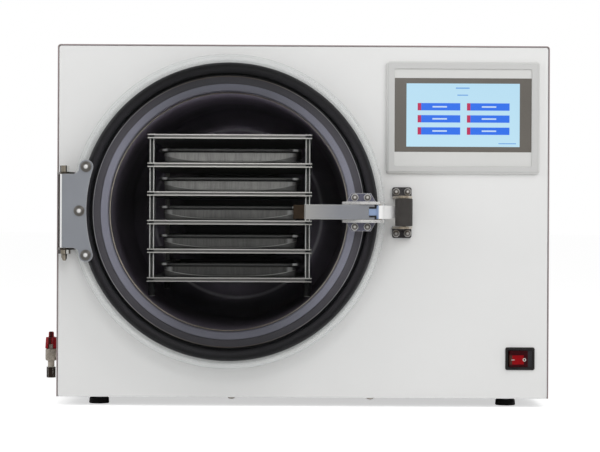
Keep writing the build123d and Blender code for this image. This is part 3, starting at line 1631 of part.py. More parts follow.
single_pieces = {
    "base_tray": make_base_tray,
    "front_panel": make_front_panel,
    "case_cover": make_case_cover,
    "rear_panel": make_rear_panel,
    "foot_pads": make_foot_pads,
    "foot_studs": make_foot_studs,
    "chamber_drum": make_chamber_drum,
    "door_seal": make_door_seal,
    "evaporator_coil": make_evaporator_coil,
    "insulation_jacket": make_insulation_jacket,
    "chamber_cradles": make_chamber_cradles,
    "vacuum_port": make_vacuum_port,
    "rack_uprights": make_rack_uprights,
    "rack_feet": make_rack_feet,
    "hmi_housing": make_hmi_housing,
    "hmi_glass": make_hmi_glass,
    "hmi_display": make_hmi_display,
    "hmi_clamps": make_hmi_clamps,
    "switch_housing": make_switch_housing,
    "switch_rocker": make_switch_rocker,
    "drain_gland": make_drain_gland,
    "drain_valve": make_drain_valve,
    "drain_handle": make_drain_handle,
    "drain_pipe": make_drain_pipe,
    "door_disc": make_door_disc,
    "hinge_leaf": make_hinge_leaf,
    "hinge_bracket": make_hinge_bracket,
    "hinge_pin": make_hinge_pin,
    "hinge_bolts": make_hinge_bolts,
    "panel_screws": make_panel_screws,
    "latch_ears": make_latch_ears,
    "latch_screws": make_latch_screws,
    "latch_pin": make_latch_pin,
    "latch_lever": make_latch_lever,
    "latch_grip": make_latch_grip,
    "latch_tongue": make_latch_tongue,
    "keeper_ears": make_keeper_ears,
    "keeper_pin": make_keeper_pin,
    "keeper_roller": make_keeper_roller,
    "compressor": make_compressor,
    "compressor_grommets": make_compressor_grommets,
    "condenser": make_condenser,
    "fan_housing": make_fan_housing,
    "fan_impeller": make_fan_impeller,
    "divider": make_divider,
    "control_board": make_control_board,
    "power_supply": make_power_supply,
    "power_inlet": make_power_inlet,
    "refrigerant_lines": make_refrigerant_lines,
}

os.makedirs("parts", exist_ok=True)
for node, make in single_pieces.items():
    piece = make()
    piece.part.label = node
    export_step(piece.part, f"parts/{node}.step")
for number in range(1, shelf_count + 1):
    shelf = make_shelf(number)
    shelf.part.label = f"shelf_{number}"
    export_step(shelf.part, f"parts/shelf_{number}.step")
for number in range(1, shelf_count):
    tray = make_tray(number)
    tray.part.label = f"tray_{number}"
    export_step(tray.part, f"parts/tray_{number}.step")
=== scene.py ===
import json
from math import cos, pi, radians, sin, sqrt

import bmesh
import bpy
from mathutils import Matrix, Vector


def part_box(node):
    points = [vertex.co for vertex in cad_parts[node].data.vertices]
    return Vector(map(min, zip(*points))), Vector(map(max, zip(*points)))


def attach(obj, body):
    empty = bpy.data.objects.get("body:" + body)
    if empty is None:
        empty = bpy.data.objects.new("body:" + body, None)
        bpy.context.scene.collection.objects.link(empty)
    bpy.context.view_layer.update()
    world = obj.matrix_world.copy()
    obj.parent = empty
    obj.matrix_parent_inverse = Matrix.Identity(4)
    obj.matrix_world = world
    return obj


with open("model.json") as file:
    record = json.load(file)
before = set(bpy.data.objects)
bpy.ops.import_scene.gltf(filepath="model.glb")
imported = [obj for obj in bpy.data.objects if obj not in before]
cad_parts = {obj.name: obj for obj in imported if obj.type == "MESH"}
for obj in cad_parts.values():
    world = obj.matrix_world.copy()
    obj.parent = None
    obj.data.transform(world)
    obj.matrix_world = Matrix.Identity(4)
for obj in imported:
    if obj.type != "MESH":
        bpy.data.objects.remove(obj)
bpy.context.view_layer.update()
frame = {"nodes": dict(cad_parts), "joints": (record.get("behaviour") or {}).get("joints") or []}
nodes = frame["nodes"]
joints = {joint["name"]: joint for joint in frame["joints"]}
print("frame loaded:", len(nodes), "nodes")


# places read from the frame
def middleOf(node):
    low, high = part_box(node)
    return (low + high) / 2


def jointPlace(name):
    return Vector(joints[name]["pos_m"])


coverLow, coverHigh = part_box("case_cover")
drumMiddle, drumHigh = middleOf("chamber_drum"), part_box("chamber_drum")[1]
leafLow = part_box("hinge_leaf")[0]
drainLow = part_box("drain_valve")[0]
uprightLow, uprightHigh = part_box("rack_uprights")
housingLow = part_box("hmi_housing")[0]
handleMiddle = middleOf("drain_handle")
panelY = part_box("front_panel")[0].y
doorCentre = Vector((drumMiddle.x, panelY, drumMiddle.z))  # chamber's axis at the panel's face
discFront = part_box("door_disc")[0].y


def addNode(tree, kind, inputs=None, **settings):
    made = tree.nodes.new("ShaderNode" + kind)
    for key, value in settings.items():
        setattr(made, key, value)
    for key, value in (inputs or {}).items():
        if isinstance(value, bpy.types.NodeSocket):
            tree.links.new(value, made.inputs[key])
        else:
            made.inputs[key].default_value = value
    return made


def newFinish(name):
    finish = bpy.data.materials.new(name)
    finish.use_nodes = True
    return finish, finish.node_tree, finish.node_tree.nodes["Principled BSDF"]


def rawPlace(tree):
    return addNode(tree, "TexCoord").outputs["Object"]


def objectPlace(tree, stretch=(1, 1, 1)):
    return addNode(tree, "Mapping", {"Vector": rawPlace(tree), "Scale": stretch}).outputs["Vector"]


def grainOf(tree, scale, stretch=(1, 1, 1), detail=2.0):
    inputs = {"Vector": objectPlace(tree, stretch), "Scale": scale, "Detail": detail}
    return addNode(tree, "TexNoise", inputs).outputs["Fac"]


def doMath(tree, operation, first, second=0.0):
    made = addNode(tree, "Math", operation=operation)
    for socket, value in zip(made.inputs, (first, second)):
        if isinstance(value, bpy.types.NodeSocket):
            tree.links.new(value, socket)
        else:
            socket.default_value = value
    return made.outputs["Value"]


def spread(tree, value, low, high, toLow=0.0, toHigh=1.0):
    inputs = {"Value": value, "From Min": low, "From Max": high, "To Min": toLow, "To Max": toHigh}
    return addNode(tree, "MapRange", inputs).outputs["Result"]


# from 0 to 1 at a place, or from 1 to 0
def riseAt(tree, value, place, soft):
    return spread(tree, value, place - soft, place + soft)


def fallAt(tree, value, place, soft):
    return spread(tree, value, place - soft, place + soft, 1.0, 0.0)


def between(tree, value, low, high, soft):
    return doMath(tree, "MULTIPLY", riseAt(tree, value, low, soft), fallAt(tree, value, high, soft))


def colourRamp(tree, factor, stops, blend="LINEAR"):
    ramp = addNode(tree, "ValToRGB", {"Fac": factor})
    ramp.color_ramp.interpolation = blend
    points = ramp.color_ramp.elements
    while len(points) < len(stops):
        points.new(1.0)
    for point, (position, colour) in zip(points, stops):
        point.position = position
        point.color = (*colour, 1)
    return ramp.outputs["Color"]


noiseSpan = (0.3, 0.7)  # where most of a noise's values lie


def twoTone(tree, grain, dark, light):
    return colourRamp(tree, grain, list(zip(noiseSpan, (dark, light))))


def awayFrom(tree, centre, across=(1, 0, 1)):
    inputs = {0: rawPlace(tree), 1: centre}
    offset = addNode(tree, "VectorMath", inputs, operation="SUBTRACT").outputs[0]
    return addNode(tree, "VectorMath", {0: offset, 1: across}, operation="MULTIPLY").outputs[0]


def lengthOf(tree, vector):
    return addNode(tree, "VectorMath", {0: vector}, operation="LENGTH").outputs["Value"]


def axisOf(tree, vector, axis):
    return addNode(tree, "SeparateXYZ", {"Vector": vector}).outputs[axis]


# 0 above and below a round part's axis, and 1 at its two sides
def flankOf(tree, away, radius):
    share = doMath(tree, "DIVIDE", doMath(tree, "ABSOLUTE", axisOf(tree, away, "X")), radius)
    return doMath(tree, "MULTIPLY", share, share)


def mixColours(tree, factor, first, second, blend="MIX"):
    made = addNode(tree, "Mix", data_type="RGBA", blend_type=blend)
    for number, value in ((0, factor), (6, first), (7, second)):
        if isinstance(value, bpy.types.NodeSocket):
            tree.links.new(value, made.inputs[number])
        elif isinstance(value, tuple):
            made.inputs[number].default_value = (*value, 1)
        else:
            made.inputs[number].default_value = value
    return made.outputs[2]


def shade(colour, factor):
    return tuple(min(1.0, part * factor) for part in colour)


def greyTint(tree, value):
    return addNode(tree, "CombineColor", {"Red": value, "Green": value, "Blue": value}).outputs["Color"]


def tinted(tree, base, tint):
    return mixColours(tree, 1.0, base, tint, "MULTIPLY")


def speckled(tree, base, grain, darkest):
    return tinted(tree, base, twoTone(tree, grain, (darkest,) * 3, (1.0,) * 3))


def cloudy(tree, look):
    light = shade(look["colour"], 1 + look["uneven"])
    dark = shade(look["colour"], 1 - look["uneven"])
    return colourRamp(tree, grainOf(tree, look["cloud"], detail=4.0), [(0.32, dark), (0.68, light)])


def setBase(tree, shader, base):
    tree.links.new(base, shader.inputs["Base Color"])


def setRough(tree, shader, grain, low, high):
    tree.links.new(spread(tree, grain, *noiseSpan, low, high), shader.inputs["Roughness"])


def setBump(tree, shader, height, depth, softEdge=0.0):
    inputs = {"Height": height, "Distance": depth}
    if softEdge:
        inputs["Normal"] = addNode(tree, "Bevel", {"Radius": softEdge}, samples=4).outputs["Normal"]
    bump = addNode(tree, "Bump", inputs)
    tree.links.new(bump.outputs["Normal"], shader.inputs["Normal"])


edge = {"samples": 6, "alike": (0.80, 0.985)}  # how alike the rounded and the flat normal are


# mask of a part's edges, where a painted highlight colour is laid along them
def edgeMask(tree, reach):
    rounded = addNode(tree, "Bevel", {"Radius": reach}, samples=edge["samples"]).outputs["Normal"]
    flat = addNode(tree, "NewGeometry").outputs["Normal"]
    match = addNode(tree, "VectorMath", {0: rounded, 1: flat}, operation="DOT_PRODUCT").outputs["Value"]
    return spread(tree, match, *edge["alike"], 1.0, 0.0)


def makeFinish(name, look):
    finish, tree, shader = newFinish(name)
    base = cloudy(tree, look)
    for zone in look.get("zones", []):
        inside = riseAt(tree, axisOf(tree, rawPlace(tree), zone["axis"]), zone["start"], zone["soft"])
        base = mixColours(tree, inside, base, cloudy(tree, {**look, "colour": zone["colour"]}))
    # painted highlight along the edges, where a look gives one
    if "edge" in look:
        base = mixColours(tree, edgeMask(tree, look["edgeHighlightReach"]), base, look["edge"])
    setBase(tree, shader, base)
    grain = grainOf(tree, look["grain"], look.get("stretch", (1, 1, 1)), detail=3.0)
    setRough(tree, shader, grain, look["rough"] * 0.85, look["rough"] * 1.15)
    setBump(tree, shader, grain, look["depth"], look.get("softEdge", 0.0))
    shader.inputs["Metallic"].default_value = look.get("metal", 0.0)
    shader.inputs["Coat Weight"].default_value = look.get("coat", 0.0)
    shader.inputs["Coat Roughness"].default_value = 0.08
    shader.inputs["Specular IOR Level"].default_value = look.get("gloss", 0.4)
    return finish


# a finish's other colour past a place on one axis
def past(axis, start, soft, colour):
    return {"axis": axis, "start": start, "soft": soft, "colour": colour}


looks = {
    "panelCoat": {
        "colour": (0.80, 0.80, 0.792), "uneven": 0.012, "cloud": 7, "grain": 1100,
        "rough": 0.45, "depth": 0.00003, "softEdge": 0.0006,
    },
    # the sheet's front 1 mm is painted dark, a painted shade line along the case's outline; then its coat
    "coverCoat": {
        "colour": (0.33, 0.27, 0.27), "uneven": 0.02, "cloud": 6, "grain": 1300,
        "rough": 0.5, "depth": 0.00005, "softEdge": 0.0006,
        "zones": [past("Y", coverLow.y + 0.0010, 0.0003, (0.74, 0.74, 0.73))],
    },
    "zincSheet": {
        "colour": (0.52, 0.53, 0.54), "uneven": 0.12, "cloud": 60, "grain": 400,
        "rough": 0.45, "depth": 0.00002, "metal": 1.0, "softEdge": 0.0004,
    },
    # the leaf's rolled edge along the pin is painted white, a painted highlight; its edges carry a painted
    # highlight too
    "hingeSteel": {
        "colour": (0.95, 0.95, 0.94), "uneven": 0.03, "cloud": 25, "grain": 220, "stretch": (1, 1, 14),
        "rough": 0.45, "depth": 0.000015, "metal": 0.25, "softEdge": 0.0005,
        "zones": [past("X", leafLow.x + 0.0029, 0.0004, (0.270, 0.283, 0.310))],
        "edge": (0.80, 0.81, 0.81), "edgeHighlightReach": 0.0009,
    },
    "bracketSteel": {
        "colour": (0.10, 0.085, 0.07), "uneven": 0.15, "cloud": 60, "grain": 300,
        "rough": 0.35, "depth": 0.000015, "metal": 1.0, "softEdge": 0.0004,
    },
    # the ears are light and their foot plates on the disc are painted dark bluish, lit and shaded tones of
    # one steel; the edges carry a painted highlight
    "earSteel": {
        "colour": (0.66, 0.65, 0.64), "uneven": 0.06, "cloud": 60, "grain": 500,
        "rough": 0.3, "depth": 0.00001, "metal": 0.4, "softEdge": 0.0006,
        "zones": [past("Y", discFront - 0.0034, 0.0001, (0.140, 0.139, 0.190))],
        "edge": (0.92, 0.92, 0.90), "edgeHighlightReach": 0.0012,
    },
    # the ears are beige and their foot plates on the panel are painted dark, lit and shaded tones of one
    # steel; the edges carry a painted highlight
    "keeperSteel": {
        "colour": (0.46, 0.39, 0.30), "uneven": 0.08, "cloud": 80, "grain": 500,
        "rough": 0.3, "depth": 0.00001, "metal": 0.5, "softEdge": 0.0006,
        "zones": [past("Y", panelY - 0.0036, 0.0001, (0.055, 0.052, 0.055))],
        "edge": (0.34, 0.32, 0.31), "edgeHighlightReach": 0.0007,
    },
    # the drain's outlet is painted dark brown as shade, and the body above it is nickel; its edges carry a
    # painted highlight
    "nickel": {
        "colour": (0.024, 0.014, 0.010), "uneven": 0.3, "cloud": 80, "grain": 600,
        "rough": 0.3, "depth": 0.000006, "metal": 0.5, "softEdge": 0.0005,
        "zones": [past("Z", drainLow.z + 0.0150, 0.0006, (0.44, 0.39, 0.33))],
        "edge": (0.78, 0.73, 0.66), "edgeHighlightReach": 0.0009,
    },
    "darkBolt": {
        "colour": (0.20, 0.17, 0.14), "uneven": 0.2, "cloud": 200, "grain": 900,
        "rough": 0.35, "depth": 0.00002, "metal": 0.9, "softEdge": 0.0004,
    },
    "copper": {
        "colour": (0.72, 0.38, 0.24), "uneven": 0.12, "cloud": 40, "grain": 300,
        "rough": 0.3, "depth": 0.00001, "metal": 1.0,
    },
    # only the front edges of the front channels and the rear pair are painted bright as highlights; the rest
    # of the channels is painted dark as shade
    "uprightSteel": {
        "colour": (0.82, 0.80, 0.77), "uneven": 0.06, "cloud": 30, "grain": 260, "stretch": (1, 6, 1),
        "rough": 0.42, "depth": 0.000015, "metal": 0.2,
        "zones": [
            past("Y", uprightLow.y + 0.0009, 0.0003, (0.085, 0.083, 0.080)),
            past("Y", uprightHigh.y - 0.0105, 0.0003, (0.95, 0.93, 0.90)),
        ],
    },
    # black feet with a painted highlight glinting along their edges
    "rackFoot": {
        "colour": (0.006, 0.006, 0.006), "uneven": 0.2, "cloud": 90, "grain": 900,
        "rough": 0.4, "depth": 0.00003, "gloss": 0.2, "edge": (0.85, 0.83, 0.80), "edgeHighlightReach": 0.0009,
    },
    # the port is painted dark inside the chamber as shade, and plain steel behind it
    "portSteel": {
        "colour": (0.030, 0.029, 0.028), "uneven": 0.06, "cloud": 60, "grain": 500,
        "rough": 0.3, "depth": 0.00001, "metal": 0.7, "softEdge": 0.0004,
        "zones": [past("Y", drumHigh.y + 0.01, 0.001, (0.60, 0.60, 0.59))],
    },
    "finAluminium": {
        "colour": (0.60, 0.61, 0.62), "uneven": 0.06, "cloud": 50, "grain": 500,
        "rough": 0.4, "depth": 0.00001, "metal": 1.0,
    },
    "blackRubber": {
        "colour": (0.011, 0.010, 0.010), "uneven": 0.2, "cloud": 90, "grain": 900,
        "rough": 0.55, "depth": 0.00004, "gloss": 0.2, "softEdge": 0.0006,
    },
    "rollerPlastic": {
        "colour": (0.048, 0.044, 0.041), "uneven": 0.08, "cloud": 90, "grain": 700,
        "rough": 0.55, "depth": 0.00003, "gloss": 0.2, "softEdge": 0.0005,
    },
    "blackPlastic": {
        "colour": (0.024, 0.022, 0.022), "uneven": 0.1, "cloud": 90, "grain": 1500,
        "rough": 0.5, "depth": 0.00003, "gloss": 0.15, "softEdge": 0.0005,
    },
    "brownGrip": {
        "colour": (0.028, 0.017, 0.009), "uneven": 0.15, "cloud": 160, "grain": 1200,
        "rough": 0.55, "depth": 0.00004, "gloss": 0.15, "softEdge": 0.0006,
    },
    # its middle is painted dark as shade, between its two bright red sides
    "handleRed": {
        "colour": (0.27, 0.003, 0.008), "uneven": 0.12, "cloud": 120, "grain": 900,
        "rough": 0.4, "depth": 0.00001, "gloss": 0.15, "softEdge": 0.0006,
        "zones": [
            past("X", handleMiddle.x - 0.0019, 0.0006, (0.050, 0.006, 0.006)),
            past("X", handleMiddle.x + 0.0019, 0.0006, (0.24, 0.003, 0.008)),
        ],
    },
    # the front 1 mm is painted darker, painted shade on the bezel; past it, the housing's own grey
    "screenHousing": {
        "colour": (0.585, 0.585, 0.575), "uneven": 0.012, "cloud": 12, "grain": 1800,
        "rough": 0.45, "depth": 0.00002, "softEdge": 0.0006,
        "zones": [past("Y", housingLow.y + 0.0010, 0.0003, (0.68, 0.68, 0.665))],
    },
    "plainSteel": {
        "colour": (0.52, 0.47, 0.42), "uneven": 0.12, "cloud": 200, "grain": 700,
        "rough": 0.35, "depth": 0.00001, "metal": 0.4, "softEdge": 0.0003,
    },
    # dark pressed-powder look with pores, for the disc that is painted shade inside the vacuum port
    "portShadeSteel": {
        "colour": (0.030, 0.029, 0.028), "uneven": 0.5, "cloud": 1400, "grain": 2200,
        "rough": 0.8, "depth": 0.0002, "metal": 0.3,
    },
    "screenBorder": {
        "colour": (0.142, 0.130, 0.114), "uneven": 0.05, "cloud": 9, "grain": 1500,
        "rough": 0.3, "depth": 0.000004, "coat": 0.1,
    },
    "foam": {
        "colour": (0.72, 0.62, 0.38), "uneven": 0.1, "cloud": 60, "grain": 260,
        "rough": 0.85, "depth": 0.0004,
    },
    "compressorBlack": {
        "colour": (0.016, 0.016, 0.017), "uneven": 0.15, "cloud": 40, "grain": 600,
        "rough": 0.32, "depth": 0.00003, "coat": 0.2,
    },
    "boardGreen": {
        "colour": (0.02, 0.16, 0.06), "uneven": 0.2, "cloud": 160, "grain": 900,
        "rough": 0.4, "depth": 0.00003,
    },
}
finishes = {name: makeFinish(name, look) for name, look in looks.items()}
print("plain finishes made:", len(finishes))


seal = {
    "centre": doorCentre,
    "span": (0.150, 0.200),
    # radius from the chamber's axis and the rubber's colour from there outwards; the darkest band, in the
    # groove, is painted shade, and the lighter bands on the bead are painted highlights
    "rings": [
        (0.1500, (0.055, 0.052, 0.058)), (0.1552, (0.050, 0.045, 0.053)), (0.1582, (0.136, 0.132, 0.162)),
        (0.1660, (0.142, 0.138, 0.168)), (0.1668, (0.052, 0.048, 0.055)), (0.1762, (0.042, 0.038, 0.045)),
        (0.1775, (0.003, 0.003, 0.004)), (0.1805, (0.004, 0.004, 0.005)), (0.1845, (0.016, 0.014, 0.017)),
        (0.1900, (0.008, 0.007, 0.008)), (0.1935, (0.020, 0.019, 0.021)), (0.1950, (0.010, 0.009, 0.010)),
    ],
    "ripple": 900, "rippleShare": 0.24, "flankLight": 2.4, "rough": 0.5, "gloss": 0.25, "depth": 0.00005,
}


def makeSealFinish(look):
    finish, tree, shader = newFinish("sealRubber")
    away = awayFrom(tree, look["centre"])
    radius = lengthOf(tree, away)
    low, high = look["span"]
    stops = [((at - low) / (high - low), colour) for at, colour in look["rings"]]
    base = colourRamp(tree, spread(tree, radius, low, high), stops)
    inputs = {"W": doMath(tree, "MULTIPLY", radius, look["ripple"]), "Detail": 2.0}
    ripple = addNode(tree, "TexNoise", inputs, noise_dimensions="1D").outputs["Fac"]
    lines = spread(tree, ripple, *noiseSpan, 1 - look["rippleShare"], 1 + look["rippleShare"])
    # painted light: the rings are brighter at both sides than above and below
    sides = spread(tree, flankOf(tree, away, radius), 0.1, 1.0, 1.0, look["flankLight"])
    setBase(tree, shader, tinted(tree, base, greyTint(tree, doMath(tree, "MULTIPLY", lines, sides))))
    setRough(tree, shader, ripple, look["rough"] * 0.9, look["rough"] * 1.1)
    shader.inputs["Specular IOR Level"].default_value = look["gloss"]
    setBump(tree, shader, ripple, look["depth"])
    return finish


# clear sheet: what is behind it shows straight through, under a thin mirror that grows with the angle; its
# thick edge shows grey where it is looked at squarely, and its rim beyond the seal carries a pale share that
# is painted light
acrylic = {
    "tint": (0.945, 0.953, 0.953), "mirror": (0.93, 0.935, 0.93), "sideColour": (0.22, 0.27, 0.27),
    "cloud": 30.0, "rough": 0.02, "ior": 1.49, "gloss": 0.22,
    "side": (0.40, 0.03), "rimR": (0.1948, 0.1970), "rimPaintedLight": 0.20,
}


def makeAcrylic(look):
    finish, tree, shader = newFinish("clearAcrylic")
    cloud = grainOf(tree, look["cloud"])
    facing = doMath(tree, "ABSOLUTE", axisOf(tree, addNode(tree, "TexCoord").outputs["Normal"], "Y"))
    mirror = twoTone(tree, cloud, shade(look["mirror"], 0.97), look["mirror"])
    setBase(tree, shader, mixColours(tree, facing, look["sideColour"], mirror))
    setRough(tree, shader, cloud, look["rough"] * 0.6, look["rough"] * 1.4)
    inRim = spread(tree, lengthOf(tree, awayFrom(tree, doorCentre)), *look["rimR"])
    inRim = doMath(tree, "MULTIPLY", inRim, facing)
    tree.links.new(doMath(tree, "SUBTRACT", facing, inRim), shader.inputs["Metallic"])
    angle = addNode(tree, "Fresnel", {"IOR": look["ior"]}).outputs["Fac"]
    gloss = doMath(tree, "MULTIPLY", doMath(tree, "MULTIPLY", angle, facing), look["gloss"])
    grazing = addNode(tree, "LayerWeight", {"Blend": 0.5}).outputs["Facing"]
    side = spread(tree, grazing, 0.0, 1.0, *look["side"])
    side = doMath(tree, "MULTIPLY", doMath(tree, "SUBTRACT", 1.0, facing), side)
    # painted light on the rim beyond the seal
    rim = doMath(tree, "MULTIPLY", inRim, look["rimPaintedLight"])
    share = doMath(tree, "ADD", doMath(tree, "ADD", gloss, side), rim)
    through = addNode(tree, "BsdfTransparent", {"Color": (*look["tint"], 1)})
    both = addNode(tree, "MixShader", {0: share, 1: through.outputs[0], 2: shader.outputs[0]})
    tree.links.new(both.outputs[0], tree.nodes["Material Output"].inputs["Surface"])
    return finish


screenGlow = {
    "top": (0.50, 0.76, 0.92), "low": (0.53, 0.79, 0.93), "dark": (0.01, 0.012, 0.015),
    "strength": 0.95, "grain": 700.0, "rough": 0.15,
}


def makeScreen(look):
    finish, tree, shader = newFinish("screenGlow")
    low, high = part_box("hmi_display")
    height = axisOf(tree, rawPlace(tree), "Z")
    glow = mixColours(tree, spread(tree, height, low.z, high.z), look["low"], look["top"])
    shader.inputs["Base Color"].default_value = (*look["dark"], 1)
    setRough(tree, shader, grainOf(tree, look["grain"]), look["rough"], look["rough"] * 1.3)
    tree.links.new(glow, shader.inputs["Emission Color"])
    shader.inputs["Emission Strength"].default_value = look["strength"]
    return finish


# switch: distances from its middle; the face is dark red round a bright middle that is painted light, and its
# pressed end is painted grey as shade
rocker = {
    "frame": (0.036, 0.001, 0.003), "bright": (0.27, 0.0010, 0.004), "left": (0.070, 0.030, 0.022),
    "end": (0.030, 0.029, 0.032), "mark": (0.62, 0.62, 0.58), "markDark": (0.030, 0.012, 0.012),
    "brightX": (-0.0108, 0.0047), "brightZ": (-0.0073, 0.0046), "leftX": -0.0108, "leftZ": 0.0060,
    "endX": 0.0100, "faceZ": -0.0013, "dashX": (-0.0121, -0.0076), "dashHalf": 0.00040, "dashSoft": 0.0002,
    "ringX": 0.0056, "ringR": 0.0017, "ringW": 0.00045, "markSoft": 0.0001, "soft": 0.0004,
    "cloud": 220.0, "rough": 0.3, "gloss": 0.12, "depth": 0.00001, "softEdge": 0.0005,
}


def makeRocker(look):
    finish, tree, shader = newFinish("rockerRed")
    middle = middleOf("switch_housing") + Vector((0, 0, look["faceZ"]))
    away = awayFrom(tree, middle)
    across, up = axisOf(tree, away, "X"), axisOf(tree, away, "Z")
    soft, markSoft = look["soft"], look["markSoft"]
    cloud = grainOf(tree, look["cloud"])
    bright = twoTone(tree, cloud, shade(look["bright"], 0.9), shade(look["bright"], 1.1))
    lowZ, highZ = (height - look["faceZ"] for height in look["brightZ"])
    inHeight = between(tree, up, lowZ, highZ, soft)
    inMiddle = doMath(tree, "MULTIPLY", between(tree, across, *look["brightX"], soft), inHeight)
    base = mixColours(tree, inMiddle, look["frame"], bright)
    atLeft = fallAt(tree, across, look["leftX"], soft)
    inLeft = doMath(tree, "MULTIPLY", atLeft, between(tree, up, -look["leftZ"], look["leftZ"], soft))
    base = mixColours(tree, inLeft, base, look["left"])
    base = mixColours(tree, riseAt(tree, across, look["endX"], soft), base, look["end"])
    inDash = between(tree, up, -look["dashHalf"], look["dashHalf"], markSoft)
    dash = doMath(tree, "MULTIPLY", between(tree, across, *look["dashX"], look["dashSoft"]), inDash)
    out = lengthOf(tree, awayFrom(tree, middle + Vector((look["ringX"], 0, 0))))
    base = mixColours(tree, fallAt(tree, out, look["ringR"], markSoft), base, look["markDark"])
    ring = between(tree, out, look["ringR"] - look["ringW"], look["ringR"] + look["ringW"], markSoft)
    setBase(tree, shader, mixColours(tree, doMath(tree, "MAXIMUM", dash, ring), base, look["mark"]))
    setRough(tree, shader, cloud, look["rough"], look["rough"] * 1.4)
    shader.inputs["Specular IOR Level"].default_value = look["gloss"]
    setBump(tree, shader, cloud, look["depth"], look["softEdge"])
    return finish


# latch lever: plain steel, painted lighter towards its left end as light, with painted highlights at its
# edges and painted shadow round the tab that fills its notch and at its right end
leverLow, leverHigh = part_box("latch_lever")
leverMiddle = (leverLow + leverHigh) / 2
lever = {
    "colour": (0.250, 0.258, 0.280), "light": (0.36, 0.355, 0.345), "edge": (0.80, 0.80, 0.78),
    "gapShadow": (0.012, 0.011, 0.013), "notchX": leverHigh.x - 0.0070, "notchHalf": 0.0056,
    "gapWidth": 0.0012, "gapSoft": 0.0002, "edgeHighlightReach": 0.0010,
    "grain": 220.0, "stretch": (1, 1, 14), "darkest": 0.94,
    "rough": 0.42, "metal": 0.2, "depth": 0.00001, "softEdge": 0.0006,
}


def makeLeverFinish(look):
    finish, tree, shader = newFinish("leverSteel")
    place = rawPlace(tree)
    across, up = axisOf(tree, place, "X"), axisOf(tree, place, "Z")
    grain = grainOf(tree, look["grain"], look["stretch"])
    base = mixColours(tree, spread(tree, across, leverLow.x, leverMiddle.x), look["light"], look["colour"])
    base = speckled(tree, base, grain, look["darkest"])
    base = mixColours(tree, edgeMask(tree, look["edgeHighlightReach"]), base, look["edge"])
    # painted shadow round the tab in the notch and at the lever's right end
    fromMiddle = doMath(tree, "ABSOLUTE", doMath(tree, "SUBTRACT", up, leverMiddle.z))
    wide, soft = look["gapWidth"], look["gapSoft"]
    inNotch = riseAt(tree, across, look["notchX"] - wide, soft)
    inNotch = doMath(tree, "MULTIPLY", inNotch, fallAt(tree, fromMiddle, look["notchHalf"] + wide, soft))
    atEnd = riseAt(tree, across, leverHigh.x - wide, soft)
    setBase(tree, shader, mixColours(tree, doMath(tree, "MAXIMUM", inNotch, atEnd), base, look["gapShadow"]))
    setRough(tree, shader, grain, look["rough"] * 0.8, look["rough"] * 1.2)
    shader.inputs["Metallic"].default_value = look["metal"]
    setBump(tree, shader, grain, look["depth"], look["softEdge"])
    return finish


# the latch plate is blue up to its pivot; beyond it, it is bright, a painted reflection of the white panel
pivotX = jointPlace("latch_pivot").x
tongueSteel = {
    "split": pivotX - 0.0020, "soft": 0.0004, "left": (0.27, 0.36, 0.55), "right": (0.94, 0.94, 0.93),
    "grain": 240.0, "stretch": (1, 1, 12), "rough": 0.4, "metal": 0.1, "depth": 0.00001, "softEdge": 0.0006,
}


def makeTongueFinish(look):
    finish, tree, shader = newFinish("tongueSteel")
    grain = grainOf(tree, look["grain"], look["stretch"])
    beyond = riseAt(tree, axisOf(tree, rawPlace(tree), "X"), look["split"], look["soft"])
    setBase(tree, shader, mixColours(tree, beyond, look["left"], look["right"]))
    setRough(tree, shader, grain, look["rough"] * 0.8, look["rough"] * 1.2)
    shader.inputs["Metallic"].default_value = look["metal"]
    setBump(tree, shader, grain, look["depth"], look["softEdge"])
    return finish


# dark polished steel; the closed end's middle is painted dark as the rack's shadow, a faint bright line where
# the closed end bends into the wall is a painted highlight, and the steel is painted lighter towards the top
# as light
drum = {
    "colour": (0.210, 0.178, 0.228), "middle": (0.010, 0.008, 0.009), "middleR": (0.0805, 0.1055),
    "bend": (0.62, 0.59, 0.64), "bendR": 0.1255, "bendHalf": 0.0020, "bendSoft": 0.0015,
    "bendUp": (-0.12, 0.12), "bendTopShare": 0.5, "topUp": (0.02, 0.14), "topPaintedLight": 3.0,
    "cloud": 14.0, "brushed": 160.0, "stretch": (1, 14, 1),
    "rough": 0.36, "metal": 0.35, "depth": 0.00002, "softEdge": 0.0005,
}


def makeDrumFinish(look):
    finish, tree, shader = newFinish("drumSteel")
    cloud = grainOf(tree, look["cloud"], detail=5.0)
    brushed = grainOf(tree, look["brushed"], look["stretch"])
    steel = twoTone(tree, cloud, shade(look["colour"], 0.8), shade(look["colour"], 1.2))
    away = awayFrom(tree, drumMiddle)
    radius, height = lengthOf(tree, away), axisOf(tree, away, "Z")
    # painted shadow: the middle of the closed end, behind the rack, is dark
    base = mixColours(tree, spread(tree, radius, *look["middleR"]), look["middle"], steel)
    # painted highlight along the bend, fading towards the top
    low, high = look["bendR"] - look["bendHalf"], look["bendR"] + look["bendHalf"]
    share = spread(tree, height, *look["bendUp"], 1.0, look["bendTopShare"])
    line = doMath(tree, "MULTIPLY", between(tree, radius, low, high, look["bendSoft"]), share)
    base = mixColours(tree, line, base, look["bend"])
    # painted light: lighter towards the top
    tone = spread(tree, height, *look["topUp"], 1.0, look["topPaintedLight"])
    setBase(tree, shader, tinted(tree, base, greyTint(tree, tone)))
    setRough(tree, shader, brushed, look["rough"] * 0.8, look["rough"] * 1.2)
    shader.inputs["Metallic"].default_value = look["metal"]
    setBump(tree, shader, brushed, look["depth"], look["softEdge"])
    return finish


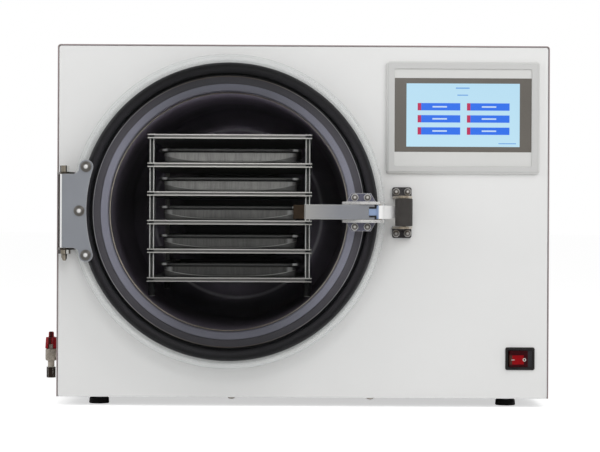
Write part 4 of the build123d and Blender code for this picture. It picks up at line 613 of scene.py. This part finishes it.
# trays: a brushed wall whose lower edge curves up to both ends as a painted reflection, a bend under it and a
# rolled rim, both painted dark as shade, with painted glints
lowTray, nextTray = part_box("tray_5"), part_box("tray_4")
trays = {
    "middle": (lowTray[0] + lowTray[1]) / 2, "low": lowTray[0].z, "pitch": nextTray[0].z - lowTray[0].z,
    "tall": lowTray[1].z - lowTray[0].z, "halfWall": 0.0865, "halfRim": 0.0920, "under": 0.0005,
    "wall": (0.42, 0.405, 0.388), "bend": (0.14, 0.136, 0.131), "bendEnd": (0.26, 0.255, 0.247),
    "line": (0.50, 0.49, 0.47), "rim": (0.020, 0.019, 0.018), "rimLine": (0.070, 0.068, 0.066),
    "glint": (0.80, 0.79, 0.77), "glintOut": (0.0085, 0.0022), "glintTall": 0.0030, "glintSoft": 0.0012,
    "corner": (0.0100, 0.0030), "cornerSoft": 0.0016, "cornerShare": 0.5,
    "wallLow": 0.0020, "wallRise": 0.0080, "lineHalf": 0.0004, "lineSoft": 0.0004,
    "rimTall": 0.0052, "rimSoft": 0.0003, "rimLineDown": (0.0024, 0.0012),
    "grain": 420.0, "stretch": (1, 1, 0.03), "streak": 0.20, "rough": 0.4, "metal": 0.4,
    "depth": 0.00002, "softEdge": 0.0004,
    # painted light: how bright each tray's wall and bend are painted against the top one's, from the lowest
    # up
    "wallPaintedLight": (0.17, 0.33, 0.33, 0.80, 1.0), "bendPaintedLight": (0.50, 0.58, 0.68, 0.90, 1.0),
}


def makeTrayFinish(look):
    finish, tree, shader = newFinish("traySteel")
    across = doMath(tree, "ABSOLUTE", axisOf(tree, awayFrom(tree, look["middle"]), "X"))
    above = doMath(tree, "SUBTRACT", axisOf(tree, rawPlace(tree), "Z"), look["low"])
    up = doMath(tree, "FLOORED_MODULO", doMath(tree, "ADD", above, look["under"]), look["pitch"])
    up = doMath(tree, "SUBTRACT", up, look["under"])
    streak = grainOf(tree, look["grain"], look["stretch"], detail=3.0)
    dark, light = shade(look["wall"], 1 - look["streak"]), shade(look["wall"], 1 + look["streak"])
    wall = twoTone(tree, streak, dark, light)
    height = spread(tree, above, 0.0, look["pitch"] * (len(look["wallPaintedLight"]) - 1))
    tones = {}
    for part in ("wallPaintedLight", "bendPaintedLight"):
        steps = [(number / (len(look[part]) - 1), (tone,) * 3) for number, tone in enumerate(look[part])]
        tones[part] = colourRamp(tree, height, steps)
    wall = tinted(tree, wall, tones["wallPaintedLight"])
    # painted highlight at the wall's two corners
    far, near = (look["halfWall"] - inset for inset in look["corner"])
    corner = between(tree, across, far, near, look["cornerSoft"])
    wall = mixColours(tree, doMath(tree, "MULTIPLY", corner, look["cornerShare"]), wall, look["glint"])
    # the wall's lower edge: a painted highlight line over the bend, which is painted darker as shade and
    # lighter towards both ends
    out = doMath(tree, "POWER", doMath(tree, "DIVIDE", across, look["halfWall"]), 3.0)
    curve = doMath(tree, "ADD", doMath(tree, "MULTIPLY", out, look["wallRise"]), look["wallLow"])
    over = doMath(tree, "SUBTRACT", up, curve)
    bend = tinted(tree, mixColours(tree, out, look["bend"], look["bendEnd"]), tones["bendPaintedLight"])
    line = between(tree, over, -look["lineHalf"], look["lineHalf"], look["lineSoft"])
    bend = mixColours(tree, line, bend, look["line"])
    # the rim, painted dark as shade with a painted highlight line, and a painted glint near each end
    top, rimLow = look["tall"], look["tall"] - look["rimTall"]
    far, near = (top - down for down in look["rimLineDown"])
    rim = mixColours(tree, between(tree, up, far, near, look["lineSoft"]), look["rim"], look["rimLine"])
    far, near = (look["halfRim"] - inset for inset in look["glintOut"])
    glint = between(tree, up, top - look["glintTall"], top, look["glintSoft"] / 2)
    glint = doMath(tree, "MULTIPLY", between(tree, across, far, near, look["glintSoft"]), glint)
    rim = mixColours(tree, glint, rim, look["glint"])
    # the rim's dark reaches down over the wall's top, a painted shadow of the rim
    folded = mixColours(tree, riseAt(tree, up, rimLow, look["rimSoft"]), bend, rim)
    onWall = spread(tree, over, 0.0, 2 * look["rimSoft"])
    onWall = doMath(tree, "MULTIPLY", onWall, fallAt(tree, up, rimLow, look["rimSoft"]))
    setBase(tree, shader, mixColours(tree, onWall, folded, wall))
    setRough(tree, shader, streak, look["rough"] * 0.8, look["rough"] * 1.2)
    shader.inputs["Metallic"].default_value = look["metal"]
    setBump(tree, shader, streak, look["depth"], look["softEdge"])
    return finish


# shelves: two bright edges painted as highlights with a duller face between them, which is painted dark at
# both ends as shade; the lower shelves are painted darker as shade
lowShelf, nextShelf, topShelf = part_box("shelf_6"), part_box("shelf_5"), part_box("shelf_1")
shelf = {
    "line": (1.0, 0.955, 0.905), "face": (0.32, 0.305, 0.29), "endFace": (0.020, 0.020, 0.020),
    "top": (0.30, 0.30, 0.29), "lineTall": 0.0013, "lineSoft": 0.0002, "endLong": 0.0095, "endSoft": 0.0015,
    "under": 0.0005, "lowShelfShade": 0.55, "grain": 400.0, "stretch": (0.05, 1, 1), "darkest": 0.88,
    "rough": 0.42, "metal": 0.2, "depth": 0.00001,
}


def makeShelfFinish(look):
    finish, tree, shader = newFinish("shelfSteel")
    place = addNode(tree, "TexCoord").outputs
    height = axisOf(tree, place["Object"], "Z")
    low, tall = lowShelf[0].z, lowShelf[1].z - lowShelf[0].z
    pitch = nextShelf[0].z - lowShelf[0].z
    above = doMath(tree, "ADD", doMath(tree, "SUBTRACT", height, low), look["under"])
    up = doMath(tree, "SUBTRACT", doMath(tree, "FLOORED_MODULO", above, pitch), look["under"])
    fromMiddle = doMath(tree, "ABSOLUTE", doMath(tree, "SUBTRACT", up, tall / 2))
    across = doMath(tree, "ABSOLUTE", axisOf(tree, awayFrom(tree, (lowShelf[0] + lowShelf[1]) / 2), "X"))
    endX = (lowShelf[1].x - lowShelf[0].x) / 2 - look["endLong"]
    base = mixColours(tree, spread(tree, across, endX, endX + look["endSoft"]), look["face"], look["endFace"])
    line = riseAt(tree, fromMiddle, tall / 2 - look["lineTall"], look["lineSoft"])
    base = mixColours(tree, line, base, look["line"])
    streak = grainOf(tree, look["grain"], look["stretch"])
    # painted shade: the lower shelves are darker
    tone = spread(tree, height, low, topShelf[0].z, look["lowShelfShade"], 1.0)
    tone = doMath(tree, "MULTIPLY", tone, spread(tree, streak, *noiseSpan, look["darkest"], 1.0))
    base = tinted(tree, base, greyTint(tree, tone))
    flat = spread(tree, doMath(tree, "ABSOLUTE", axisOf(tree, place["Normal"], "Z")), 0.6, 0.8)
    setBase(tree, shader, mixColours(tree, flat, base, look["top"]))
    setRough(tree, shader, streak, look["rough"] * 0.8, look["rough"] * 1.2)
    shader.inputs["Metallic"].default_value = look["metal"]
    setBump(tree, shader, streak, look["depth"])
    return finish


# dome heads painted by how much they face the front: a rim, a dull ring and a bright crown, a painted
# reflection
domes = {
    "boltSteel": {
        "rim": (0.22, 0.21, 0.20), "ring": (0.115, 0.107, 0.097), "crown": (0.90, 0.89, 0.88),
        "turns": (0.70, 0.80, 0.940, 0.988), "cloud": 500.0, "rough": (0.34, 0.46), "metal": 0.3,
    },
    "screwSteel": {
        "rim": (0.80, 0.79, 0.76), "ring": (0.150, 0.140, 0.130), "crown": (0.62, 0.60, 0.57),
        "turns": (0.70, 0.80, 0.945, 0.985), "cloud": 500.0, "rough": (0.34, 0.46), "metal": 0.3,
    },
}


def makeDomeFinish(name, look):
    finish, tree, shader = newFinish(name)
    turned = addNode(tree, "TexCoord").outputs["Normal"]
    toward = addNode(tree, "VectorMath", {0: turned, 1: (0, -1, 0)}, operation="DOT_PRODUCT").outputs["Value"]
    colours = (look["rim"], look["ring"], look["ring"], look["crown"])
    base = colourRamp(tree, toward, list(zip(look["turns"], colours)))
    cloud = grainOf(tree, look["cloud"])
    setBase(tree, shader, speckled(tree, base, cloud, 0.9))
    setRough(tree, shader, cloud, *look["rough"])
    shader.inputs["Metallic"].default_value = look["metal"]
    return finish


# the hinge's nuts: each flat of the hexagons is painted with its own light and shade
pinMiddle = middleOf("hinge_pin")
nut = {
    "half": 0.0075, "flats": [
        (0.0, (0.020, 0.016, 0.013)), (0.22, (0.26, 0.23, 0.18)), (0.50, (0.34, 0.30, 0.24)),
        (0.62, (0.030, 0.025, 0.020)), (0.72, (0.85, 0.84, 0.80)), (0.90, (0.12, 0.10, 0.08)),
    ],
    "cloud": 600.0, "rough": (0.30, 0.42), "metal": 0.3,
}


def makeNutFinish(look):
    finish, tree, shader = newFinish("nutSteel")
    across = axisOf(tree, awayFrom(tree, pinMiddle), "X")
    base = colourRamp(tree, spread(tree, across, -look["half"], look["half"]), look["flats"], "CONSTANT")
    cloud = grainOf(tree, look["cloud"])
    setBase(tree, shader, speckled(tree, base, cloud, 0.8))
    setRough(tree, shader, cloud, *look["rough"])
    shader.inputs["Metallic"].default_value = look["metal"]
    return finish


finishes["sealRubber"] = makeSealFinish(seal)
finishes["clearAcrylic"] = makeAcrylic(acrylic)
finishes["screenGlow"] = makeScreen(screenGlow)
finishes["rockerRed"] = makeRocker(rocker)
finishes["leverSteel"] = makeLeverFinish(lever)
finishes["tongueSteel"] = makeTongueFinish(tongueSteel)
finishes["shelfSteel"] = makeShelfFinish(shelf)
for name, look in domes.items():
    finishes[name] = makeDomeFinish(name, look)
finishes["nutSteel"] = makeNutFinish(nut)
finishes["drumSteel"] = makeDrumFinish(drum)
finishes["traySteel"] = makeTrayFinish(trays)
print("patterned finishes made")

# which finish each CAD node wears
worn = {
    "panelCoat": ["front_panel"],
    "coverCoat": ["case_cover", "rear_panel"],
    "zincSheet": ["base_tray", "divider", "chamber_cradles", "foot_studs", "power_supply", "fan_housing"],
    "hingeSteel": ["hinge_leaf"],
    "bracketSteel": ["hinge_bracket"],
    "leverSteel": ["latch_lever"],
    "earSteel": ["latch_ears"],
    "keeperSteel": ["keeper_ears", "keeper_pin", "latch_pin"],
    "boltSteel": ["hinge_bolts"],
    "screwSteel": ["latch_screws", "panel_screws"],
    "nickel": ["drain_valve", "drain_gland", "drain_pipe"],
    "nutSteel": ["hinge_pin"],
    "copper": ["evaporator_coil", "refrigerant_lines"],
    "uprightSteel": ["rack_uprights"],
    "rackFoot": ["rack_feet"],
    "portSteel": ["vacuum_port"],
    "finAluminium": ["condenser"],
    "blackRubber": ["foot_pads", "compressor_grommets"],
    "rollerPlastic": ["keeper_roller"],
    "blackPlastic": ["switch_housing", "fan_impeller", "power_inlet", "hmi_clamps"],
    "brownGrip": ["latch_grip"],
    "handleRed": ["drain_handle"],
    "screenHousing": ["hmi_housing"],
    "screenBorder": ["hmi_glass"],
    "foam": ["insulation_jacket"],
    "compressorBlack": ["compressor"],
    "boardGreen": ["control_board"],
    "sealRubber": ["door_seal"],
    "clearAcrylic": ["door_disc"],
    "screenGlow": ["hmi_display"],
    "rockerRed": ["switch_rocker"],
    "tongueSteel": ["latch_tongue"],
    "drumSteel": ["chamber_drum"],
    "traySteel": ["tray_" + str(number) for number in range(1, 6)],
    "shelfSteel": ["shelf_" + str(number) for number in range(1, 7)],
}
for finish, members in worn.items():
    for member in members:
        nodes[member].data.materials.clear()
        nodes[member].data.materials.append(finishes[finish])
bare = sorted(set(nodes) - {member for members in worn.values() for member in members})
print("finishes worn; nodes left bare:", bare)


def addMesh(name, shape, finish, body="cabinet", smooth=True):
    mesh = bpy.data.meshes.new(name)
    shape.to_mesh(mesh)
    shape.free()
    piece = bpy.data.objects.new(name, mesh)
    bpy.context.scene.collection.objects.link(piece)
    mesh.materials.append(finish)
    for face in mesh.polygons:
        face.use_smooth = smooth
    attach(piece, body)
    return piece


def addBlock(shape, middle, size):
    place = Matrix.Translation(middle) @ Matrix.Diagonal((*size, 1))
    bmesh.ops.create_cube(shape, size=1.0, matrix=place)


def addRing(shape, middle, ringR, wireR, around=180, across=10):
    rows = []
    for turn in range(around):
        angle = 2 * pi * turn / around
        row = []
        for step in range(across):
            tilt = 2 * pi * step / across
            out = ringR + wireR * cos(tilt)
            corner = Vector((out * cos(angle), wireR * sin(tilt), out * sin(angle)))
            row.append(shape.verts.new(middle + corner))
        rows.append(row)
    for turn in range(around):
        now, after = rows[turn], rows[(turn + 1) % around]
        for step in range(across):
            up = (step + 1) % across
            shape.faces.new((now[step], now[up], after[up], after[step]))
    bmesh.ops.recalc_face_normals(shape, faces=shape.faces[:])


# thin hoops along the drum's edge and at the seal's groove that stand for bright lines: painted highlights,
# brightest at both sides and dull above and below
rings = {
    "drumEdge": {
        "r": 0.1555, "wire": 0.0007, "proud": 0.0066, "side": (0.85, 0.76, 0.62), "dull": (0.30, 0.25, 0.20),
        "cloud": 45.0, "rough": (0.28, 0.40), "metal": 0.3,
    },
    "sealGroove": {
        "r": 0.1763, "wire": 0.00045, "proud": 0.0203, "side": (0.60, 0.58, 0.60), "dull": (0.10, 0.07, 0.05),
        "cloud": 45.0, "rough": (0.28, 0.40), "metal": 0.3,
    },
}


def makeRingFinish(name, look):
    finish, tree, shader = newFinish(name)
    flankLight = flankOf(tree, awayFrom(tree, doorCentre), look["r"])
    cloud = grainOf(tree, look["cloud"], detail=3.0)
    setBase(tree, shader, speckled(tree, mixColours(tree, flankLight, look["dull"], look["side"]), cloud, 0.7))
    setRough(tree, shader, cloud, *look["rough"])
    shader.inputs["Metallic"].default_value = look["metal"]
    return finish


for name, ring in rings.items():
    shape = bmesh.new()
    addRing(shape, doorCentre + Vector((0, -ring["proud"], 0)), ring["r"], ring["wire"])
    addMesh(name + "Ring", shape, makeRingFinish(name + "Bright", ring))
print("bright rings made")

# screen: plain fields and bars where a real one has words
screenLow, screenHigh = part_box("hmi_display")
screen = {
    "blue": (0.030, 0.170, 0.860), "red": (0.52, 0.030, 0.105), "bar": (0.58, 0.74, 0.95),
    "ink": (0.16, 0.38, 0.78), "dark": (0.01, 0.01, 0.01), "grain": 900.0, "strength": 0.95,
    "rough": (0.15, 0.20), "thick": 0.0002, "raised": 0.0001,
    # from the screen's upper left corner, right and down
    "fieldSize": (0.0558, 0.0096), "columns": (0.0425, 0.1070), "rows": (0.0305, 0.0463, 0.0622),
    "redWidth": 0.0045, "barRight": 0.001, "barShare": 0.34, "barTall": 0.0019,
    "titles": [
        (0.0735, 0.0060, 0.0180, 0.0016), (0.0735, 0.0152, 0.0140, 0.0014), (0.1320, 0.0785, 0.0230, 0.0012),
    ],
}


def glowFinish(name, colour):
    finish, tree, shader = newFinish(name)
    grain = grainOf(tree, screen["grain"])
    glow = twoTone(tree, grain, shade(colour, 0.97), shade(colour, 1.03))
    tree.links.new(glow, shader.inputs["Emission Color"])
    setRough(tree, shader, grain, *screen["rough"])
    shader.inputs["Base Color"].default_value = (*screen["dark"], 1)
    shader.inputs["Emission Strength"].default_value = screen["strength"]
    return finish


def addScreenBlocks(name, blocks, colour, raised=0.0):
    shape = bmesh.new()
    for right, down, width, height in blocks:
        front = screenLow.y - screen["thick"] / 2 - raised
        middle = Vector((screenLow.x + right, front, screenHigh.z - down))
        addBlock(shape, middle, (width, screen["thick"], height))
    addMesh(name, shape, glowFinish(name + "Glow", colour), smooth=False)


fields = [(x, z) for x in screen["columns"] for z in screen["rows"]]
width, height = screen["fieldSize"]
endShift = (width - screen["redWidth"]) / 2
ends = [(x - endShift, z, screen["redWidth"], height) for x, z in fields]
bars = [(x + screen["barRight"], z, width * screen["barShare"], screen["barTall"]) for x, z in fields]
addScreenBlocks("screenFields", [(x, z, width, height) for x, z in fields], screen["blue"])
addScreenBlocks("screenFieldEnds", ends, screen["red"], screen["raised"])
addScreenBlocks("screenFieldBars", bars, screen["bar"], screen["raised"])
addScreenBlocks("screenTitles", screen["titles"], screen["ink"])
print("screen made")


# dome-headed screws: a low cap, drawn once for each place
def addDome(shape, place, outward, radius, rise):
    turn = Vector((0, 0, 1)).rotation_difference(outward).to_matrix().to_4x4()
    made = bmesh.ops.create_uvsphere(shape, u_segments=20, v_segments=10, radius=1.0)
    keep = made["verts"]
    for vertex in keep:
        vertex.co.z = max(vertex.co.z, 0.0)
    flat = Matrix.Diagonal((radius, radius, rise, 1))
    bmesh.ops.transform(shape, matrix=Matrix.Translation(place) @ turn @ flat, verts=keep)


# a prism that stands upright, with its width across the flats
def addHexagon(shape, bottom, acrossFlats, height):
    place = Matrix.Translation(bottom + Vector((0, 0, height / 2))) @ Matrix.Rotation(radians(30), 4, "Z")
    radius = acrossFlats / sqrt(3)
    bmesh.ops.create_cone(
        shape, cap_ends=True, segments=6, radius1=radius, radius2=radius, depth=height, matrix=place
    )


earLow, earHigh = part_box("hinge_bracket")
hexes = {"head": {"wide": 0.0104, "tall": 0.0080}, "nut": {"wide": 0.0135, "tall": 0.0050}}
shape = bmesh.new()
middle = Vector((pinMiddle.x, pinMiddle.y, earHigh.z))
addHexagon(shape, middle, hexes["head"]["wide"], hexes["head"]["tall"])
middle = Vector((pinMiddle.x, pinMiddle.y, earLow.z - hexes["nut"]["tall"]))
addHexagon(shape, middle, hexes["nut"]["wide"], hexes["nut"]["tall"])
addMesh("hingeNuts", shape, finishes["nutSteel"], smooth=False)

# dark porous disc in the vacuum port: painted shade that closes the view through its bore
portLow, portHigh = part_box("vacuum_port")
portShadeDisc = {"r": 0.0125, "thick": 0.0020, "inside": 0.0030, "segments": 64}
shape = bmesh.new()
place = Vector(((portLow.x + portHigh.x) / 2, portLow.y + portShadeDisc["inside"], (portLow.z + portHigh.z) / 2))
bmesh.ops.create_cone(
    shape, cap_ends=True, segments=portShadeDisc["segments"], radius1=portShadeDisc["r"], radius2=portShadeDisc["r"],
    depth=portShadeDisc["thick"], matrix=Matrix.Translation(place) @ Matrix.Rotation(radians(90), 4, "X"),
)
addMesh("portShadeDisc", shape, finishes["portShadeSteel"], smooth=False)

caseScrews = {"r": 0.0035, "rise": 0.0012, "inset": 0.011, "sunk": 0.0001, "backs": (0.06, 0.26, 0.46)}
shape = bmesh.new()
for side in (-1, 1):
    face = (coverHigh.x if side > 0 else coverLow.x) - side * (caseScrews["rise"] + caseScrews["sunk"])
    for back in caseScrews["backs"]:
        place = Vector((face, coverLow.y + back, coverLow.z + caseScrews["inset"]))
        addDome(shape, place, Vector((side, 0, 0)), caseScrews["r"], caseScrews["rise"])
addMesh("caseScrews", shape, finishes["darkBolt"])

underScrews = {"xs": (-0.0759, 0.1063), "back": 0.008, "r": 0.0052, "rise": 0.0028}
shape = bmesh.new()
for x in underScrews["xs"]:
    place = Vector((x, coverLow.y + underScrews["back"], coverLow.z))
    addDome(shape, place, Vector((0, 0, -1)), underScrews["r"], underScrews["rise"])
addMesh("underScrews", shape, finishes["plainSteel"])
print("small screws made")

# the floor is lifted to white where it is seen, and dim in the mirrors where it lies in front
floor = {
    "size": 60.0, "colour": (0.93, 0.93, 0.93), "cloud": 2.0, "rough": 0.9,
    "lift": 0.57, "mirrorShare": 0.25, "front": (-0.9, -0.6),
}
shape = bmesh.new()
bmesh.ops.create_grid(shape, x_segments=1, y_segments=1, size=floor["size"])
mesh = bpy.data.meshes.new("floor")
shape.to_mesh(mesh)
shape.free()
ground = bpy.data.objects.new("floor", mesh)
bpy.context.scene.collection.objects.link(ground)
groundFinish, tree, shader = newFinish("floorPale")
cloud = grainOf(tree, floor["cloud"])
pale = twoTone(tree, cloud, shade(floor["colour"], 0.99), floor["colour"])
ahead = spread(tree, axisOf(tree, rawPlace(tree), "Y"), *floor["front"], 1.0, 0.0)
path = addNode(tree, "LightPath").outputs
mirrored = doMath(tree, "MULTIPLY", path["Is Glossy Ray"], ahead)
dimmed = shade(floor["colour"], floor["mirrorShare"])
setBase(tree, shader, mixColours(tree, mirrored, pale, dimmed))
shader.inputs["Roughness"].default_value = floor["rough"]
shader.inputs["Specular IOR Level"].default_value = 0.0
shader.inputs["Emission Color"].default_value = (1, 1, 1, 1)
lift = doMath(tree, "MULTIPLY", path["Is Camera Ray"], floor["lift"])
tree.links.new(lift, shader.inputs["Emission Strength"])
mesh.materials.append(groundFinish)

# the sky is white where it is seen, bright behind the object in mirrors, and dim in front of it
sky = {"fill": 0.45, "mirrorBack": 0.95, "mirrorFront": 0.16, "turn": 0.25}
world = bpy.data.worlds.new("studio")
world.use_nodes = True
bpy.context.scene.world = world
tree = world.node_tree
path = addNode(tree, "LightPath").outputs
facing = axisOf(tree, addNode(tree, "TexCoord").outputs["Generated"], "Y")
mirror = spread(tree, facing, -sky["turn"], sky["turn"], sky["mirrorFront"], sky["mirrorBack"])
through = spread(tree, facing, -sky["turn"], sky["turn"], sky["mirrorFront"], 1.0)
strength = mixColours(tree, path["Is Glossy Ray"], (sky["fill"],) * 3, mirror)
strength = mixColours(tree, path["Is Transmission Ray"], strength, through)
strength = mixColours(tree, path["Is Camera Ray"], strength, (1.0, 1.0, 1.0))
background = tree.nodes["Background"]
tree.links.new(strength, background.inputs["Color"])
background.inputs["Strength"].default_value = 1.0

softboxes = {
    "key": {"place": (1.5, -1.9, 1.9), "size": (1.7, 1.7), "power": 24.5},
    "above": {"place": (0.02, -2.4, 0.95), "size": (0.5, 0.35), "power": 7},
    "left": {"place": (-2.0, -1.2, 1.2), "size": (1.4, 1.4), "power": 11},
}
aim = Vector((0, -0.1, 0.22))
for name, box in softboxes.items():
    light = bpy.data.lights.new(name, "AREA")
    light.shape = "RECTANGLE"
    light.size, light.size_y = box["size"]
    light.energy = box["power"]
    holder = bpy.data.objects.new(name, light)
    bpy.context.scene.collection.objects.link(holder)
    holder.location = box["place"]
    holder.rotation_euler = (aim - Vector(box["place"])).to_track_quat("-Z", "Y").to_euler()

shot = {"right": -0.004, "back": 2.7, "up": 0.2369, "lens": 123.6, "roll": -0.28}
camera = bpy.data.objects.new("camera", bpy.data.cameras.new("camera"))
bpy.context.scene.collection.objects.link(camera)
camera.location = ((coverLow.x + coverHigh.x) / 2 + shot["right"], panelY - shot["back"], shot["up"])
camera.rotation_euler = (radians(90), radians(shot["roll"]), 0)
camera.data.lens = shot["lens"]
camera.data.sensor_width = 36
camera.data.clip_end = 100
bpy.context.scene.camera = camera
bpy.context.scene.view_settings.view_transform = "Standard"
print("floor, light and camera made")
